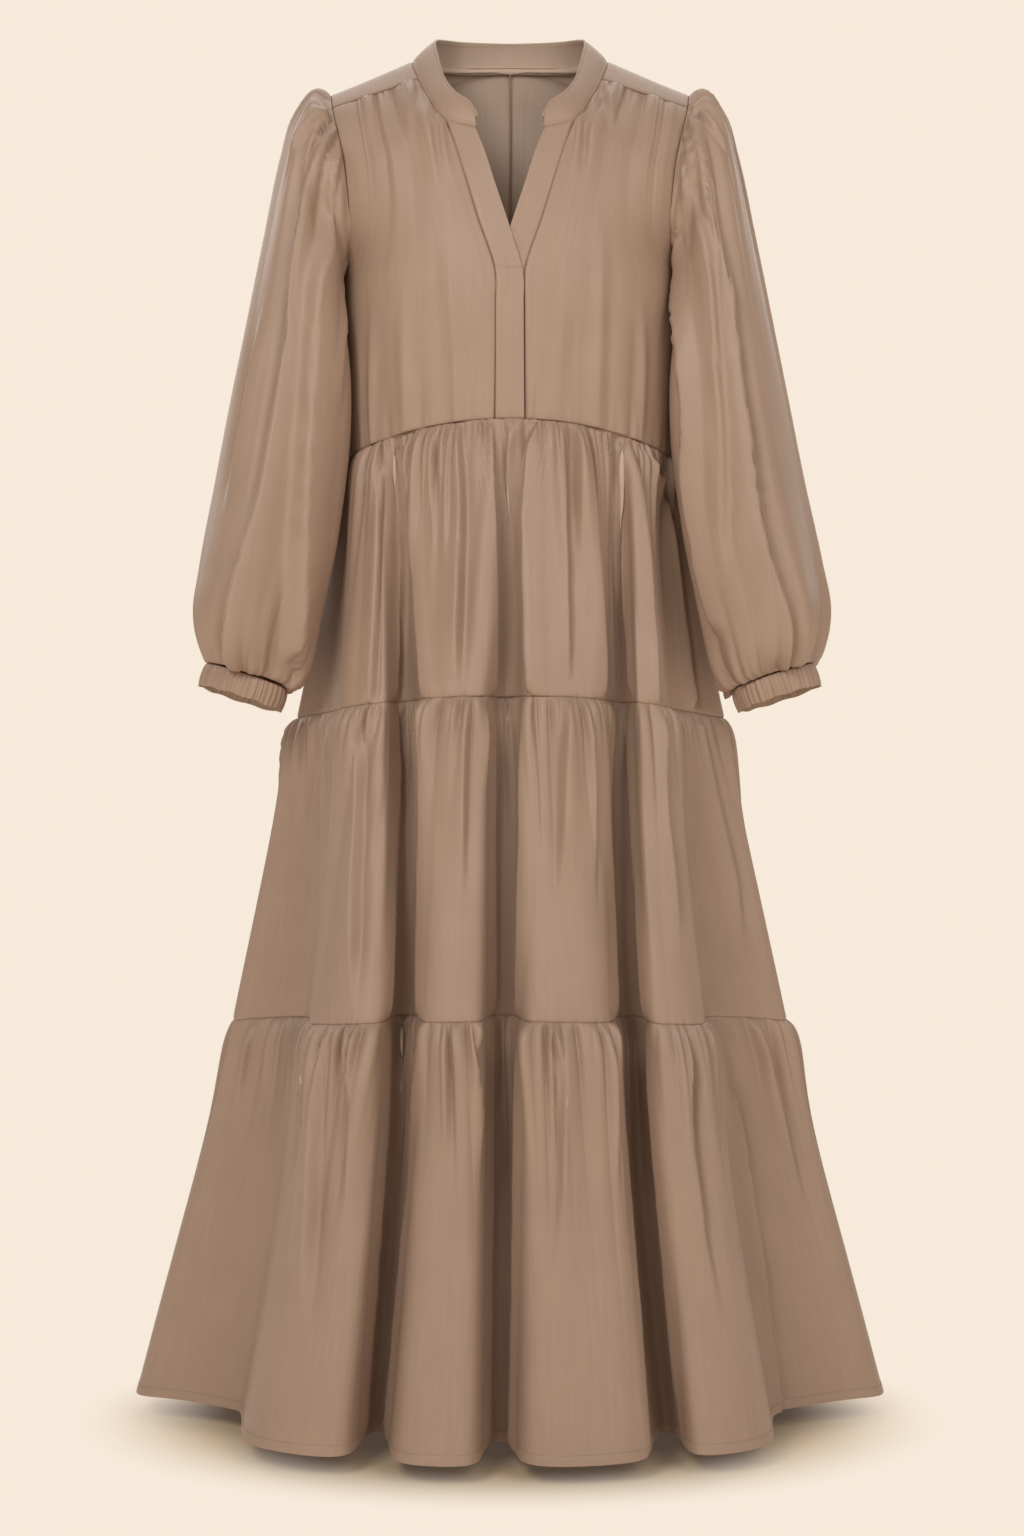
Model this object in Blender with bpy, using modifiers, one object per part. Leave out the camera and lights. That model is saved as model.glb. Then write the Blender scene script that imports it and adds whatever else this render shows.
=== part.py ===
"""Tiered maxi dress, built as its cut pieces: each is a hollow cloth wall, filled out as when worn.

Metres, +Z up. The origin is between the shoulders, at the height of the high shoulder points.
The front faces -Y and the wearer's left is +X. Left pieces are worked out and right ones mirrored.
"""
import math
from collections import namedtuple

import bmesh
import bpy
import numpy as np

# Cloth and seams
WALL = 0.0016
SEAM_GAP = 0.0003
HALF_GAP = SEAM_GAP / 2
BENT_HALF_GAP = 0.00035
BAND_LIFT = 0.0012
SLEEVE_CLEAR = 0.004

# Rows of the band table between which the two bands part, one forward and one back
LIFT_STARTS = 1
LIFT_IS_FULL = 3

# Grid counts
BODICE_COLUMNS = 12
SLEEVE_COLUMNS = 32
COLLAR_STEPS = 3
BAND_COLUMNS = 3
BAND_STEPS = 2

# Skirt: the seams and the hem, as rings. Front and back are the depths from the side seam.
Ring = namedtuple("Ring", "name half_width front back side_z front_z")
RINGS = (
    Ring("waist seam", 0.163, 0.118, 0.108, -0.396, -0.369),
    Ring("second seam", 0.214, 0.165, 0.160, -0.653, -0.635),
    Ring("third seam", 0.277, 0.220, 0.215, -0.954, -0.936),
    Ring("hem", 0.372, 0.286, 0.285, -1.322, -1.326),
)
TIER_DROPS = (0.0, 0.010, 0.045, 0.105, 0.180)
HEM_DROP = 0.270
PUFF = 0.0065
PUFF_LENGTH = 0.025

# Skirt: the deep folds, in order round the ring. Angles are in degrees from the front towards
# the wearer's left, at the waist seam and at the hem. Lean 0 folds straight back, 1 square to the
# ring. Spread says how crisply the cloth turns out of the fold before and after it. Crest is
# where the lobe that follows has its crest, as a share of its width.
Fold = namedtuple("Fold", "name top hem depth lean before after crest columns")
FOLDS = (
    Fold("right side back", -114, -106, 0.055, 1.0, 4, 4, 0.264, 16),
    Fold("right side front", -72, -45.4, 0.115, 0.0, 1, 4, 0.5, 8),
    Fold("right front", -42, -19.6, 0.105, 0.0, 4, 4, 0.5, 8),
    Fold("centre front", 0, -1.5, 0.093, 0.0, 4, 4, 0.5, 8),
    Fold("left front", 40, 23, 0.100, 0.0, 4, 4, 0.5, 8),
    Fold("left side front", 60, 44.3, 0.115, 0.0, 4, 1, 0.765, 16),
    Fold("left side back", 112, 104, 0.055, 1.0, 4, 4, 0.5, 8),
    Fold("left back outer", 138, 130, 0.078, 0.5, 4, 4, 0.5, 8),
    Fold("left back inner", 160, 154, 0.088, 0.2, 4, 4, 0.5, 8),
    Fold("centre back", 180, 178, 0.080, 0.0, 4, 4, 0.5, 8),
    Fold("right back inner", 200, 203, 0.092, 0.2, 4, 4, 0.5, 8),
    Fold("right back outer", 222, 228, 0.076, 0.5, 4, 4, 0.5, 8),
)
SIDE_SEAM_SHIFT = 2
FOLD_GROWTH = 0.8
FOLD_HALF_WIDTH = 0.014
FOLD_OPENING = 0.1
GATHER_HEIGHT = (0.0026, 0.0036, 0.0040)
GATHER_LENGTH = 0.085
GATHER_AT_SEAM = 0.25

# Armhole: place is in 32nds round it, from the shoulder over the front to the underarm and back
ARMHOLE_PLACES = 32
Armhole = namedtuple("Armhole", "name place x y z")
ARMHOLE = (
    Armhole("shoulder", 0, 0.179, 0.003, -0.030),
    Armhole("forward seam", 2, 0.176, -0.028, -0.048),
    Armhole("front", 7, 0.1615, -0.060, -0.115),
    Armhole("low front", 11.5, 0.157, -0.055, -0.180),
    Armhole("underarm", 16, 0.166, 0.0, -0.218),
    Armhole("low back", 20.5, 0.158, 0.055, -0.180),
    Armhole("back", 25, 0.163, 0.062, -0.110),
    Armhole("back shoulder", 30, 0.177, 0.030, -0.045),
)

# Neckline: the collar's seam and its top edge, from the centre back to the front end
Neck = namedtuple("Neck", "name base top")
NECK = (
    Neck("centre back", (0.0, 0.075, 0.014), (0.0, 0.065, 0.0395)),
    Neck("back", (0.055, 0.065, 0.0115), (0.047, 0.054, 0.038)),
    Neck("behind", (0.090, 0.030, 0.0075), (0.070, 0.025, 0.0325)),
    Neck("shoulder", (0.098, 0.0, 0.003), (0.0745, 0.0, 0.0235)),
    Neck("forward seam", (0.0918, -0.030, -0.020), (0.0712, -0.026, 0.003)),
    Neck("side front", (0.078, -0.065, -0.053), (0.0635, -0.056, -0.027)),
    Neck("band seam", (0.062, -0.085, -0.0744), (0.0510, -0.0785, -0.0475)),
    Neck("front end", (0.0335, -0.095, -0.0845), (0.0320, -0.0895, -0.0605)),
)
NECK_PLACE = {row.name: place for place, row in enumerate(NECK)}
COLLAR_CORNER = 0.55
COLLAR_END_HEIGHT = 0.45

# Bodice rows run from the inner edge to the armhole or side seam. Neck names a place on the
# neckline. Turn is how far the cloth has turned round the body at the outer edge, in degrees.
Row = namedtuple("Row", "name inner outer turn")
FRONT_ROWS = (
    Row("forward seam", "forward seam", 2, 0),
    Row("below the seam", 4.5, 4, 14),
    Row("neck", "side front", 6, 27),
    Row("band top", "band seam", 8, 40),
    Row("upper chest", (0.0525, -0.0965, -0.103), 10, 50),
    Row("chest", (0.0440, -0.1065, -0.131), 12, 60),
    Row("bust", (0.0300, -0.1180, -0.178), 14, 74),
    Row("underarm", (0.0143, -0.1250, -0.226), 16, 90),
    Row("below the bust", (0.0136, -0.1262, -0.262), (0.1668, 0.0, -0.262), 90),
    Row("middle", (0.0135, -0.1245, -0.298), (0.1662, 0.0, -0.306), 90),
    Row("above the waist", (0.0137, -0.1210, -0.334), (0.1650, 0.0, -0.352), 90),
    Row("waist seam", (0.0140, -0.1175, -0.3692), (0.1630, 0.0, -0.396), 90),
)
BACK_ROWS = (
    Row("forward seam", "forward seam", 2, 0),
    Row("shoulder", "shoulder", 32, 0),
    Row("behind the shoulder", "behind", 30, 6),
    Row("back neck", "back", 28, 18),
    Row("centre back neck", "centre back", 26, 35),
    Row("upper back", (0.0, 0.0905, -0.030), 24, 48),
    Row("shoulder blade", (0.0, 0.0990, -0.080), 22, 58),
    Row("low armhole", (0.0, 0.1045, -0.130), 20, 66),
    Row("above the underarm", (0.0, 0.1075, -0.178), 18, 78),
    Row("underarm", (0.0, 0.1090, -0.224), 16, 90),
    Row("below the underarm", (0.0, 0.1100, -0.268), (0.1668, 0.0, -0.262), 90),
    Row("middle", (0.0, 0.1100, -0.311), (0.1662, 0.0, -0.306), 90),
    Row("above the waist", (0.0, 0.1092, -0.354), (0.1650, 0.0, -0.352), 90),
    Row("waist seam", (0.0, 0.1080, -0.396), (0.1630, 0.0, -0.396), 90),
)
# How far a cubic's end tangents reach when it follows a quarter ellipse, as a share of its axes
QUARTER_REACH = 1.657
SHOULDER_GATHER = 0.0022
SHOULDER_DIP = 0.4
SHOULDER_GATHER_LENGTH = 0.075
PLAIN_COLUMNS = 2

# Front bands: the seam to the front panel and the free fold, for the band that goes on top.
# It is on the wearer's right, so the fold crosses the middle at the point of the V.
Band = namedtuple("Band", "name seam fold")
BAND_ROWS = (
    Band("collar", "band seam", (0.0335, -0.0950, -0.0848)),
    Band("upper chest", "upper chest", (0.0235, -0.1045, -0.1120)),
    Band("chest", "chest", (0.0150, -0.1120, -0.1400)),
    Band("bust", "bust", (-0.0003, -0.1215, -0.1880)),
    Band("point of the V", "underarm", (-0.0124, -0.1254, -0.2300)),
    Band("below the bust", "below the bust", (-0.0130, -0.1263, -0.2620)),
    Band("middle", "middle", (-0.0132, -0.1246, -0.2980)),
    Band("above the waist", "above the waist", (-0.0134, -0.1211, -0.3340)),
    Band("waist seam", "waist seam", (-0.0136, -0.1176, -0.3692)),
)

# Sleeve sections, from the head to the cuff: the outermost and innermost points, the middle's
# place front to back, and half the depth
Section = namedtuple("Section", "name out_x out_z in_x in_z mid_y half_depth gather")
SECTIONS = (
    Section("head", 0.1950, -0.0300, 0.1700, -0.2215, -0.002, 0.070, 0.0030),
    Section("puff", 0.2135, -0.0565, 0.1740, -0.2335, -0.006, 0.072, 0.0026),
    Section("upper arm", 0.2248, -0.0985, 0.1715, -0.2550, -0.014, 0.070, 0.0012),
    Section("biceps", 0.2406, -0.1800, 0.1650, -0.2890, -0.026, 0.065, 0.0),
    Section("above the elbow", 0.2554, -0.2560, 0.1585, -0.3350, -0.036, 0.061, 0.0),
    Section("elbow", 0.2716, -0.3360, 0.1580, -0.3900, -0.042, 0.061, 0.0),
    Section("forearm", 0.2878, -0.4170, 0.1655, -0.4560, -0.046, 0.063, 0.0),
    Section("blouse", 0.3061, -0.5040, 0.1780, -0.5330, -0.050, 0.066, 0.0016),
    Section("belly", 0.3136, -0.5480, 0.1855, -0.5775, -0.052, 0.065, 0.0030),
    Section("turn", 0.3094, -0.5777, 0.1958, -0.6139, -0.054, 0.056, 0.0040),
    Section("gather", 0.3014, -0.5975, 0.2094, -0.6275, -0.056, 0.041, 0.0028),
    Section("cuff seam", 0.2978, -0.6015, 0.2176, -0.6270, -0.057, 0.034, 0.0008),
)
SLEEVE_FOLD_COUNT = 3
SLEEVE_FOLD_HEIGHT = 0.0045
SLEEVE_FOLD_TWIST = 2.4
SLEEVE_GATHERED = math.radians(120)
CUFF_HEIGHT = 0.022
CUFF_LEAN = math.radians(17.6)
CUFF_TILT = math.radians(5.5)
CUFF_ROWS = 3
CUFF_BELLY = 0.0008

# How wide the body of the dress is beside the sleeve, so that the sleeve hangs just clear of it
Flank = namedtuple("Flank", "z half_width front back")
FLANKS = (
    Flank(-0.700, 0.232, 0.182, 0.176),
    Flank(-0.653, 0.220, 0.172, 0.167),
    Flank(-0.420, 0.178, 0.131, 0.121),
    Flank(-0.396, 0.167, 0.121, 0.111),
    Flank(-0.300, 0.1665, 0.1250, 0.1105),
    Flank(-0.222, 0.1665, 0.1255, 0.1095),
)

# Cloth colours, as sRGB hex: taupe satin crepe, a little darker where two layers lie together
COLOURS = {"bodice": "a68c77", "band": "a08570", "collar": "a38973", "sleeve": "aa8f7a",
           "cuff": "94796a", "tier": "a3876f"}
ROUGHNESS = 0.55


def linear(hex_colour):
    """Linear RGBA of an sRGB hex colour."""
    parts = [int(hex_colour[i:i + 2], 16) / 255 for i in (0, 2, 4)]
    return [p / 12.92 if p <= 0.04045 else ((p + 0.055) / 1.055) ** 2.4 for p in parts] + [1.0]


def through(knots, points, places, period=None):
    """Smooth curve through points at increasing knots, read at the given places."""
    knots = np.asarray(knots, float)
    points = np.asarray(points, float)
    if period:
        knots = np.concatenate([knots[-2:] - period, knots, knots[:2] + period])
        points = np.concatenate([points[-2:], points, points[:2]])
    tangents = np.gradient(points, knots, axis=0)
    places = np.clip(np.atleast_1d(np.asarray(places, float)), knots[0], knots[-1])
    i = np.clip(np.searchsorted(knots, places, side="right") - 1, 0, len(knots) - 2)
    span = (knots[i + 1] - knots[i])[:, None]
    s = (places - knots[i])[:, None] / span
    return ((2 * s**3 - 3 * s**2 + 1) * points[i] + (s**3 - 2 * s**2 + s) * span * tangents[i]
            + (3 * s**2 - 2 * s**3) * points[i + 1] + (s**3 - s**2) * span * tangents[i + 1])


def armhole(places):
    """Points of the left armhole at places in 32nds."""
    knots = [row.place for row in ARMHOLE]
    points = [(row.x, row.y, row.z) for row in ARMHOLE]
    return through(knots, points, np.mod(places, ARMHOLE_PLACES), ARMHOLE_PLACES)


def neckline(places, edge):
    """Points of the collar's base or top edge; negative places are on the wearer's right."""
    half = [getattr(row, edge) for row in NECK]
    mirrored = [(-x, y, z) for x, y, z in half[:0:-1]]
    last = len(NECK) - 1
    return through(range(-last, last + 1), mirrored + half, places)


def seam_points(places, row_places, row_points):
    """Points on a bodice's edge, which runs straight from row to row."""
    row_points = np.asarray(row_points)
    return np.column_stack([np.interp(places, row_places, row_points[:, k]) for k in range(3)])


def armhole_seam(places):
    """Points on the left armhole edge of the front and back panels."""
    row_places = np.arange(0, ARMHOLE_PLACES + 1, 2)
    return seam_points(places, row_places, armhole(row_places))


def neck_seam(places):
    """Points on the neckline edge of the panels and bands, on both sides."""
    half = sorted({neck_place(row) for row in FRONT_ROWS + BACK_ROWS if on_neckline(row)})
    half += list(band_top_places()[-2::-1])
    row_places = sorted({-place for place in half} | set(half))
    return seam_points(places, row_places, neckline(row_places, "base"))


def on_neckline(row):
    """Whether a bodice row starts on the neckline."""
    return isinstance(row.inner, (str, float))


def neck_place(row):
    """Place on the neckline where a bodice row starts."""
    return row.inner if isinstance(row.inner, float) else NECK_PLACE[row.inner]


def band_top_places():
    """Places on the neckline of a band's top edge, from its free fold to its seam."""
    return np.linspace(NECK_PLACE["front end"], NECK_PLACE["band seam"], BAND_COLUMNS + 1)


def normals(grid):
    """Unit normals of a grid of rows and columns, out of the cloth's face."""
    down = np.gradient(grid, axis=0)
    across = np.gradient(grid, axis=1)
    normal = np.cross(down, across)
    return normal / np.linalg.norm(normal, axis=2, keepdims=True)


def mirrored(grid):
    """The same grid on the wearer's right, still facing out."""
    return (grid * (-1, 1, 1))[:, ::-1]


def row_curve(inner, outer, turn, shares):
    """One row of the bodice: it leaves the inner edge square to the middle plane and has
    turned round the body by turn at the outer edge. At 90 degrees it is a quarter ellipse."""
    inner = np.asarray(inner, float)
    outer = np.asarray(outer, float)
    ease = turn / 90
    reach = outer - inner
    side = math.copysign(1, reach[1])
    leave = np.array([reach[0] * (1 + (QUARTER_REACH - 1) * ease), 0])
    length = (1 - ease) * math.hypot(reach[0], reach[1]) + ease * QUARTER_REACH * abs(reach[1])
    arrive = length * np.array([math.cos(math.radians(turn)), side * math.sin(math.radians(turn))])
    if turn == 0:
        leave = reach[:2]
        arrive = reach[:2]
    s = np.asarray(shares)[:, None]
    plan = ((2 * s**3 - 3 * s**2 + 1) * inner[:2] + (s**3 - 2 * s**2 + s) * leave
            + (3 * s**2 - 2 * s**3) * outer[:2] + (s**3 - s**2) * arrive)
    x = plan[:, 0]
    straight = (x - inner[0]) / reach[0]
    arched = (x**2 - inner[0]**2) / (outer[0]**2 - inner[0]**2)
    level = 1.0 if inner[0] == 0 else ease
    height = inner[2] + reach[2] * ((1 - level) * straight + level * arched)
    return np.column_stack([plan, height])


def inner_point(row):
    """Inner end of a bodice row, on the neckline where the row says so."""
    if on_neckline(row):
        return neckline(neck_place(row), "base")[0]
    return np.array(row.inner)


def outer_point(row):
    """Outer end of a bodice row, on the armhole where the row says so."""
    if isinstance(row.outer, int):
        return armhole(row.outer)[0]
    return np.array(row.outer)


def bodice_grid(rows):
    """Left half of the front or the back, from the inner edge to the outer edge."""
    shares = np.linspace(0, 1, BODICE_COLUMNS + 1)
    return np.array([row_curve(inner_point(r), outer_point(r), r.turn, shares) for r in rows])


def open_seams(grid, top, bottom, inner, side):
    """Move a panel's edges back from its seams, each by its own length along the cloth."""
    moved = grid.copy()
    steps = ((0, 1, top), (-1, -2, bottom))
    for edge, next_in, gap in steps:
        along = grid[next_in] - grid[edge]
        moved[edge] += along / np.linalg.norm(along, axis=1, keepdims=True) * gap
    steps = ((0, 1, inner), (-1, -2, side))
    for edge, next_in, gap in steps:
        along = grid[:, next_in] - grid[:, edge]
        moved[:, edge] += along / np.linalg.norm(along, axis=1, keepdims=True) * gap
    return moved


def front_panel():
    """Left front, gathered into the forward shoulder seam."""
    grid = bodice_grid(FRONT_ROWS)
    below = np.linalg.norm(grid - grid[0], axis=2)
    ripple = np.where(np.arange(BODICE_COLUMNS + 1) % 2 == 1, 1.0, -SHOULDER_DIP)
    ripple[:PLAIN_COLUMNS] = 0
    ripple[-PLAIN_COLUMNS:] = 0
    height = SHOULDER_GATHER * np.exp(-(below / SHOULDER_GATHER_LENGTH)**2)
    height[0] *= GATHER_AT_SEAM
    grid = grid + normals(grid) * (height * ripple)[:, :, None]
    return open_seams(grid, BENT_HALF_GAP, BENT_HALF_GAP, HALF_GAP, BENT_HALF_GAP)


def back_panel():
    """Left back, from the forward shoulder seam over the shoulder to the waist seam."""
    grid = bodice_grid(BACK_ROWS)
    return open_seams(grid, BENT_HALF_GAP, HALF_GAP, BENT_HALF_GAP, BENT_HALF_GAP)[:, ::-1]


def fold_angle(fold, level):
    """Angle of a deep fold, in radians; level is 0 at the waist seam and 1 at the hem."""
    return math.radians(fold.hem + (fold.top - fold.hem) * (1 - level)**3)


def ring_at(upper, lower, share):
    """Ring between two seams."""
    values = [a + (b - a) * share for a, b in zip(upper[1:], lower[1:])]
    return Ring("between", *values)


def ring_point(ring, angle):
    """Point of the plain ring at an angle, and the ring's outward normal in plan."""
    depth = ring.front if math.cos(angle) > 0 else ring.back
    arch = (ring.front_z - ring.side_z) * max(0.0, math.cos(angle))**2
    point = np.array([ring.half_width * math.sin(angle), -depth * math.cos(angle), ring.side_z + arch])
    normal = np.array([math.sin(angle) / ring.half_width, -math.cos(angle) / depth, 0.0])
    return point, normal / np.linalg.norm(normal)


def fold_inward(fold, ring, angle):
    """Direction in which a deep fold goes into the skirt."""
    normal = ring_point(ring, angle)[1]
    inward = np.array([-normal[0] * fold.lean, -normal[1], 0.0])
    return inward / np.linalg.norm(inward)


def half_lobe(ring, level, fold, sign, spread, crest, share):
    """Point between a fold's bottom, share 0, and the lobe's crest, share 1."""
    growth = level**FOLD_GROWTH
    angle = fold_angle(fold, level)
    metres_per_radian = math.hypot(ring.half_width * math.cos(angle), ring.front * math.sin(angle))
    gap = FOLD_HALF_WIDTH * (1 - math.exp(-level / FOLD_OPENING)) / metres_per_radian
    power = 1 + (spread - 1) * growth
    turned = angle + sign * gap * math.sin(math.pi * share) + (crest - angle) * share**power
    point = ring_point(ring, turned)[0]
    depth = fold.depth * growth * (1 + math.cos(math.pi * share)) / 2
    return point + fold_inward(fold, ring, angle) * depth


def lobe_points(ring, level, number):
    """Points of the lobe that follows a fold, up to the next fold."""
    fold = FOLDS[number]
    following = FOLDS[(number + 1) % len(FOLDS)]
    turn = 2 * math.pi if number + 1 == len(FOLDS) else 0.0
    start = fold_angle(fold, level)
    end = fold_angle(following, level) + turn
    crest = start + (end - start) * fold.crest
    rising = round(fold.columns * fold.crest)
    points = []
    for column in range(fold.columns):
        if column < rising:
            share = column / rising
            points.append(half_lobe(ring, level, fold, 1, fold.after, crest, share))
        else:
            share = (fold.columns - column) / (fold.columns - rising)
            points.append(half_lobe(ring, level, following, -1, following.before, crest - turn, share))
    return points


def skirt_ring(upper, lower, share):
    """One whole ring of the skirt with its deep folds."""
    ring = ring_at(upper, lower, share)
    level = (RINGS[0].side_z - ring.side_z) / (RINGS[0].side_z - RINGS[-1].side_z)
    points = []
    for number in range(len(FOLDS)):
        points.extend(lobe_points(ring, level, number))
    return np.array(points)


def plan_normals(ring):
    """Outward normals of a closed ring, seen from above."""
    along = np.roll(ring, -1, axis=0) - np.roll(ring, 1, axis=0)
    normal = np.column_stack([along[:, 1], -along[:, 0], np.zeros(len(ring))])
    return normal / np.linalg.norm(normal, axis=1, keepdims=True)


def tier_grid(number):
    """A whole tier, from its gathered top edge to its lower edge, all round."""
    upper = RINGS[number]
    lower = RINGS[number + 1]
    length = upper.side_z - lower.side_z
    drops = list(TIER_DROPS)
    if lower.name == "hem":
        drops.append(HEM_DROP)
    drops.append(length)
    rows = []
    for drop in drops:
        ring = skirt_ring(upper, lower, drop / length)
        count = len(ring)
        outward = PUFF * drop / PUFF_LENGTH * math.exp(1 - drop / PUFF_LENGTH)
        rise = GATHER_AT_SEAM + (1 - GATHER_AT_SEAM) * min(1.0, drop / TIER_DROPS[1])
        height = GATHER_HEIGHT[number] * rise * math.exp(-(drop / GATHER_LENGTH)**2)
        ripple = np.where(np.arange(count) % 2 == 1, 1.0, -1.0) * height
        rows.append(ring + plan_normals(ring) * (outward + ripple)[:, None])
    return np.array(rows)


def crest_column(name):
    """Column of the crest of the lobe that follows a fold."""
    number = [fold.name for fold in FOLDS].index(name)
    return sum(f.columns for f in FOLDS[:number]) + round(FOLDS[number].columns * FOLDS[number].crest)


def tier_panels(number):
    """Front and back of a tier; the side seams lie just in front of the side lobes' crests."""
    grid = tier_grid(number)
    count = grid.shape[1]
    first = crest_column("right side back") + SIDE_SEAM_SHIFT
    second = crest_column("left side front") - SIDE_SEAM_SHIFT
    front = grid[:, first:second + 1]
    back = grid[:, [c % count for c in range(second, count + first + 1)]]
    return [open_seams(panel, HALF_GAP, HALF_GAP, BENT_HALF_GAP, BENT_HALF_GAP)
            for panel in (front, back)]


def flank(y, z):
    """Half-width of the dress beside the sleeve."""
    heights = [row.z for row in FLANKS]
    half_width = np.interp(z, heights, [row.half_width for row in FLANKS])
    front = np.interp(z, heights, [row.front for row in FLANKS])
    back = np.interp(z, heights, [row.back for row in FLANKS])
    depth = np.where(y < 0, front, back)
    return half_width * np.sqrt(np.clip(1 - (y / depth)**2, 0, 1))


def sleeve_grid():
    """Left sleeve, from the armhole to the cuff seam; columns go round in 32nds."""
    shares = np.arange(SLEEVE_COLUMNS) / SLEEVE_COLUMNS
    turn = shares * 2 * math.pi
    rows = [armhole_seam(shares * ARMHOLE_PLACES) + (SEAM_GAP, 0, 0)]
    ripple = np.where(np.arange(SLEEVE_COLUMNS) % 2 == 1, 1.0, -1.0)
    ripple *= np.cos(turn) > math.cos(SLEEVE_GATHERED)
    for number, row in enumerate(SECTIONS):
        out = np.array([row.out_x, row.mid_y, row.out_z])
        inside = np.array([row.in_x, row.mid_y, row.in_z])
        middle = (out + inside) / 2
        forward = np.array([0, -math.cos(CUFF_TILT), math.sin(CUFF_TILT)])
        share = number / (len(SECTIONS) - 1)
        swell = math.sin(math.pi * share) * SLEEVE_FOLD_HEIGHT
        folds = swell * np.cos(SLEEVE_FOLD_COUNT * turn + SLEEVE_FOLD_TWIST * share)
        size = 1 + (folds + ripple * row.gather) / row.half_depth
        ring = (middle + np.outer(np.cos(turn) * size, (out - inside) / 2)
                + np.outer(np.sin(turn) * size, forward * row.half_depth))
        beside = flank(ring[:, 1], ring[:, 2]) + SLEEVE_CLEAR
        low = ring[:, 2] < FLANKS[-1].z
        ring[:, 0] = np.where(low, np.maximum(ring[:, 0], beside), ring[:, 0])
        rows.append(ring)
    return np.array(rows)


def cuff_grid():
    """Left cuff: a short band below the sleeve, a little rounder at its middle."""
    row = SECTIONS[-1]
    out = np.array([row.out_x, row.mid_y, row.out_z])
    inside = np.array([row.in_x, row.mid_y, row.in_z])
    forward = np.array([0, -math.cos(CUFF_TILT), math.sin(CUFF_TILT)])
    down = np.array([math.sin(CUFF_LEAN), 0, -math.cos(CUFF_LEAN)])
    turn = np.arange(SLEEVE_COLUMNS) / SLEEVE_COLUMNS * 2 * math.pi
    rows = []
    for share in np.linspace(0, 1, CUFF_ROWS):
        size = 1 + CUFF_BELLY * math.sin(math.pi * share) / row.half_depth
        ring = ((out + inside) / 2 + down * (SEAM_GAP + CUFF_HEIGHT * share)
                + np.outer(np.cos(turn) * size, (out - inside) / 2)
                + np.outer(np.sin(turn) * size, forward * row.half_depth))
        rows.append(ring)
    return np.array(rows)


def collar_grid():
    """Stand collar, from its top edge to its seam, right front end to left front end."""
    last = len(NECK) - 1
    places = np.linspace(-last, last, 2 * last * COLLAR_STEPS + 1)
    base = neck_seam(places)
    top = neckline(places, "top")
    up = (top - base) / np.linalg.norm(top - base, axis=1, keepdims=True)
    base = base + up * SEAM_GAP
    from_end = np.clip((last - np.abs(places)) / COLLAR_CORNER, 0, 1)
    corner = COLLAR_END_HEIGHT + (1 - COLLAR_END_HEIGHT) * np.sqrt(1 - (1 - from_end)**2)
    top = base + (top - base) * corner[:, None]
    middle = (base + top) / 2
    return np.array([top, middle, base])


def band_grid(over):
    """A front band. Over is the wearer's right one; the other lies under it below the V."""
    rows = {row.name: row for row in FRONT_ROWS}
    seam = []
    for row in BAND_ROWS:
        named = row.seam
        seam.append(neckline(NECK_PLACE[named], "base")[0] if named in NECK_PLACE else rows[named].inner)
    count = len(BAND_ROWS)
    places = np.linspace(0, count - 1, (count - 1) * BAND_STEPS + 1)
    seam = through(range(count), seam, places)
    fold = through(range(count), [row.fold for row in BAND_ROWS], places)
    share = np.linspace(0, 1, BAND_COLUMNS + 1)[None, :, None]
    grid = fold[:, None] * (1 - share) + seam[:, None] * share
    grid[0] = neckline(band_top_places(), "base")
    lift = BAND_LIFT * np.clip((places - LIFT_STARTS) / (LIFT_IS_FULL - LIFT_STARTS), 0, 1)
    grid[:, :, 1] += (-lift if over else lift)[:, None]
    return open_seams(grid, HALF_GAP, HALF_GAP, HALF_GAP, HALF_GAP)


def cloth_wall(collection, name, grid, colour, closed=False):
    """A cut piece: the open grid as a surface, with its thickness inside it."""
    mesh = bpy.data.meshes.new(name)
    shape = bmesh.new()
    rows, columns = grid.shape[:2]
    corners = [[shape.verts.new(point) for point in row] for row in grid]
    for r in range(rows - 1):
        for c in range(columns if closed else columns - 1):
            after = (c + 1) % columns
            shape.faces.new((corners[r][c], corners[r + 1][c], corners[r + 1][after], corners[r][after]))
    shape.to_mesh(mesh)
    shape.free()
    mesh.shade_smooth()
    piece = bpy.data.objects.new(name, mesh)
    collection.objects.link(piece)
    wall = piece.modifiers.new("wall", "SOLIDIFY")
    wall.thickness = WALL
    wall.offset = -1
    wall.use_even_offset = False
    wall.use_quality_normals = True
    mesh.materials.append(cloth_material(name, colour))
    return piece


def cloth_material(name, colour):
    """Matte satin crepe in one of the dress's shades."""
    material = bpy.data.materials.new(name + "_crepe")
    material.use_nodes = True
    shader = material.node_tree.nodes["Principled BSDF"]
    shader.inputs["Base Color"].default_value = linear(COLOURS[colour])
    shader.inputs["Roughness"].default_value = ROUGHNESS
    shader.inputs["Metallic"].default_value = 0.0
    return material


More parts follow.
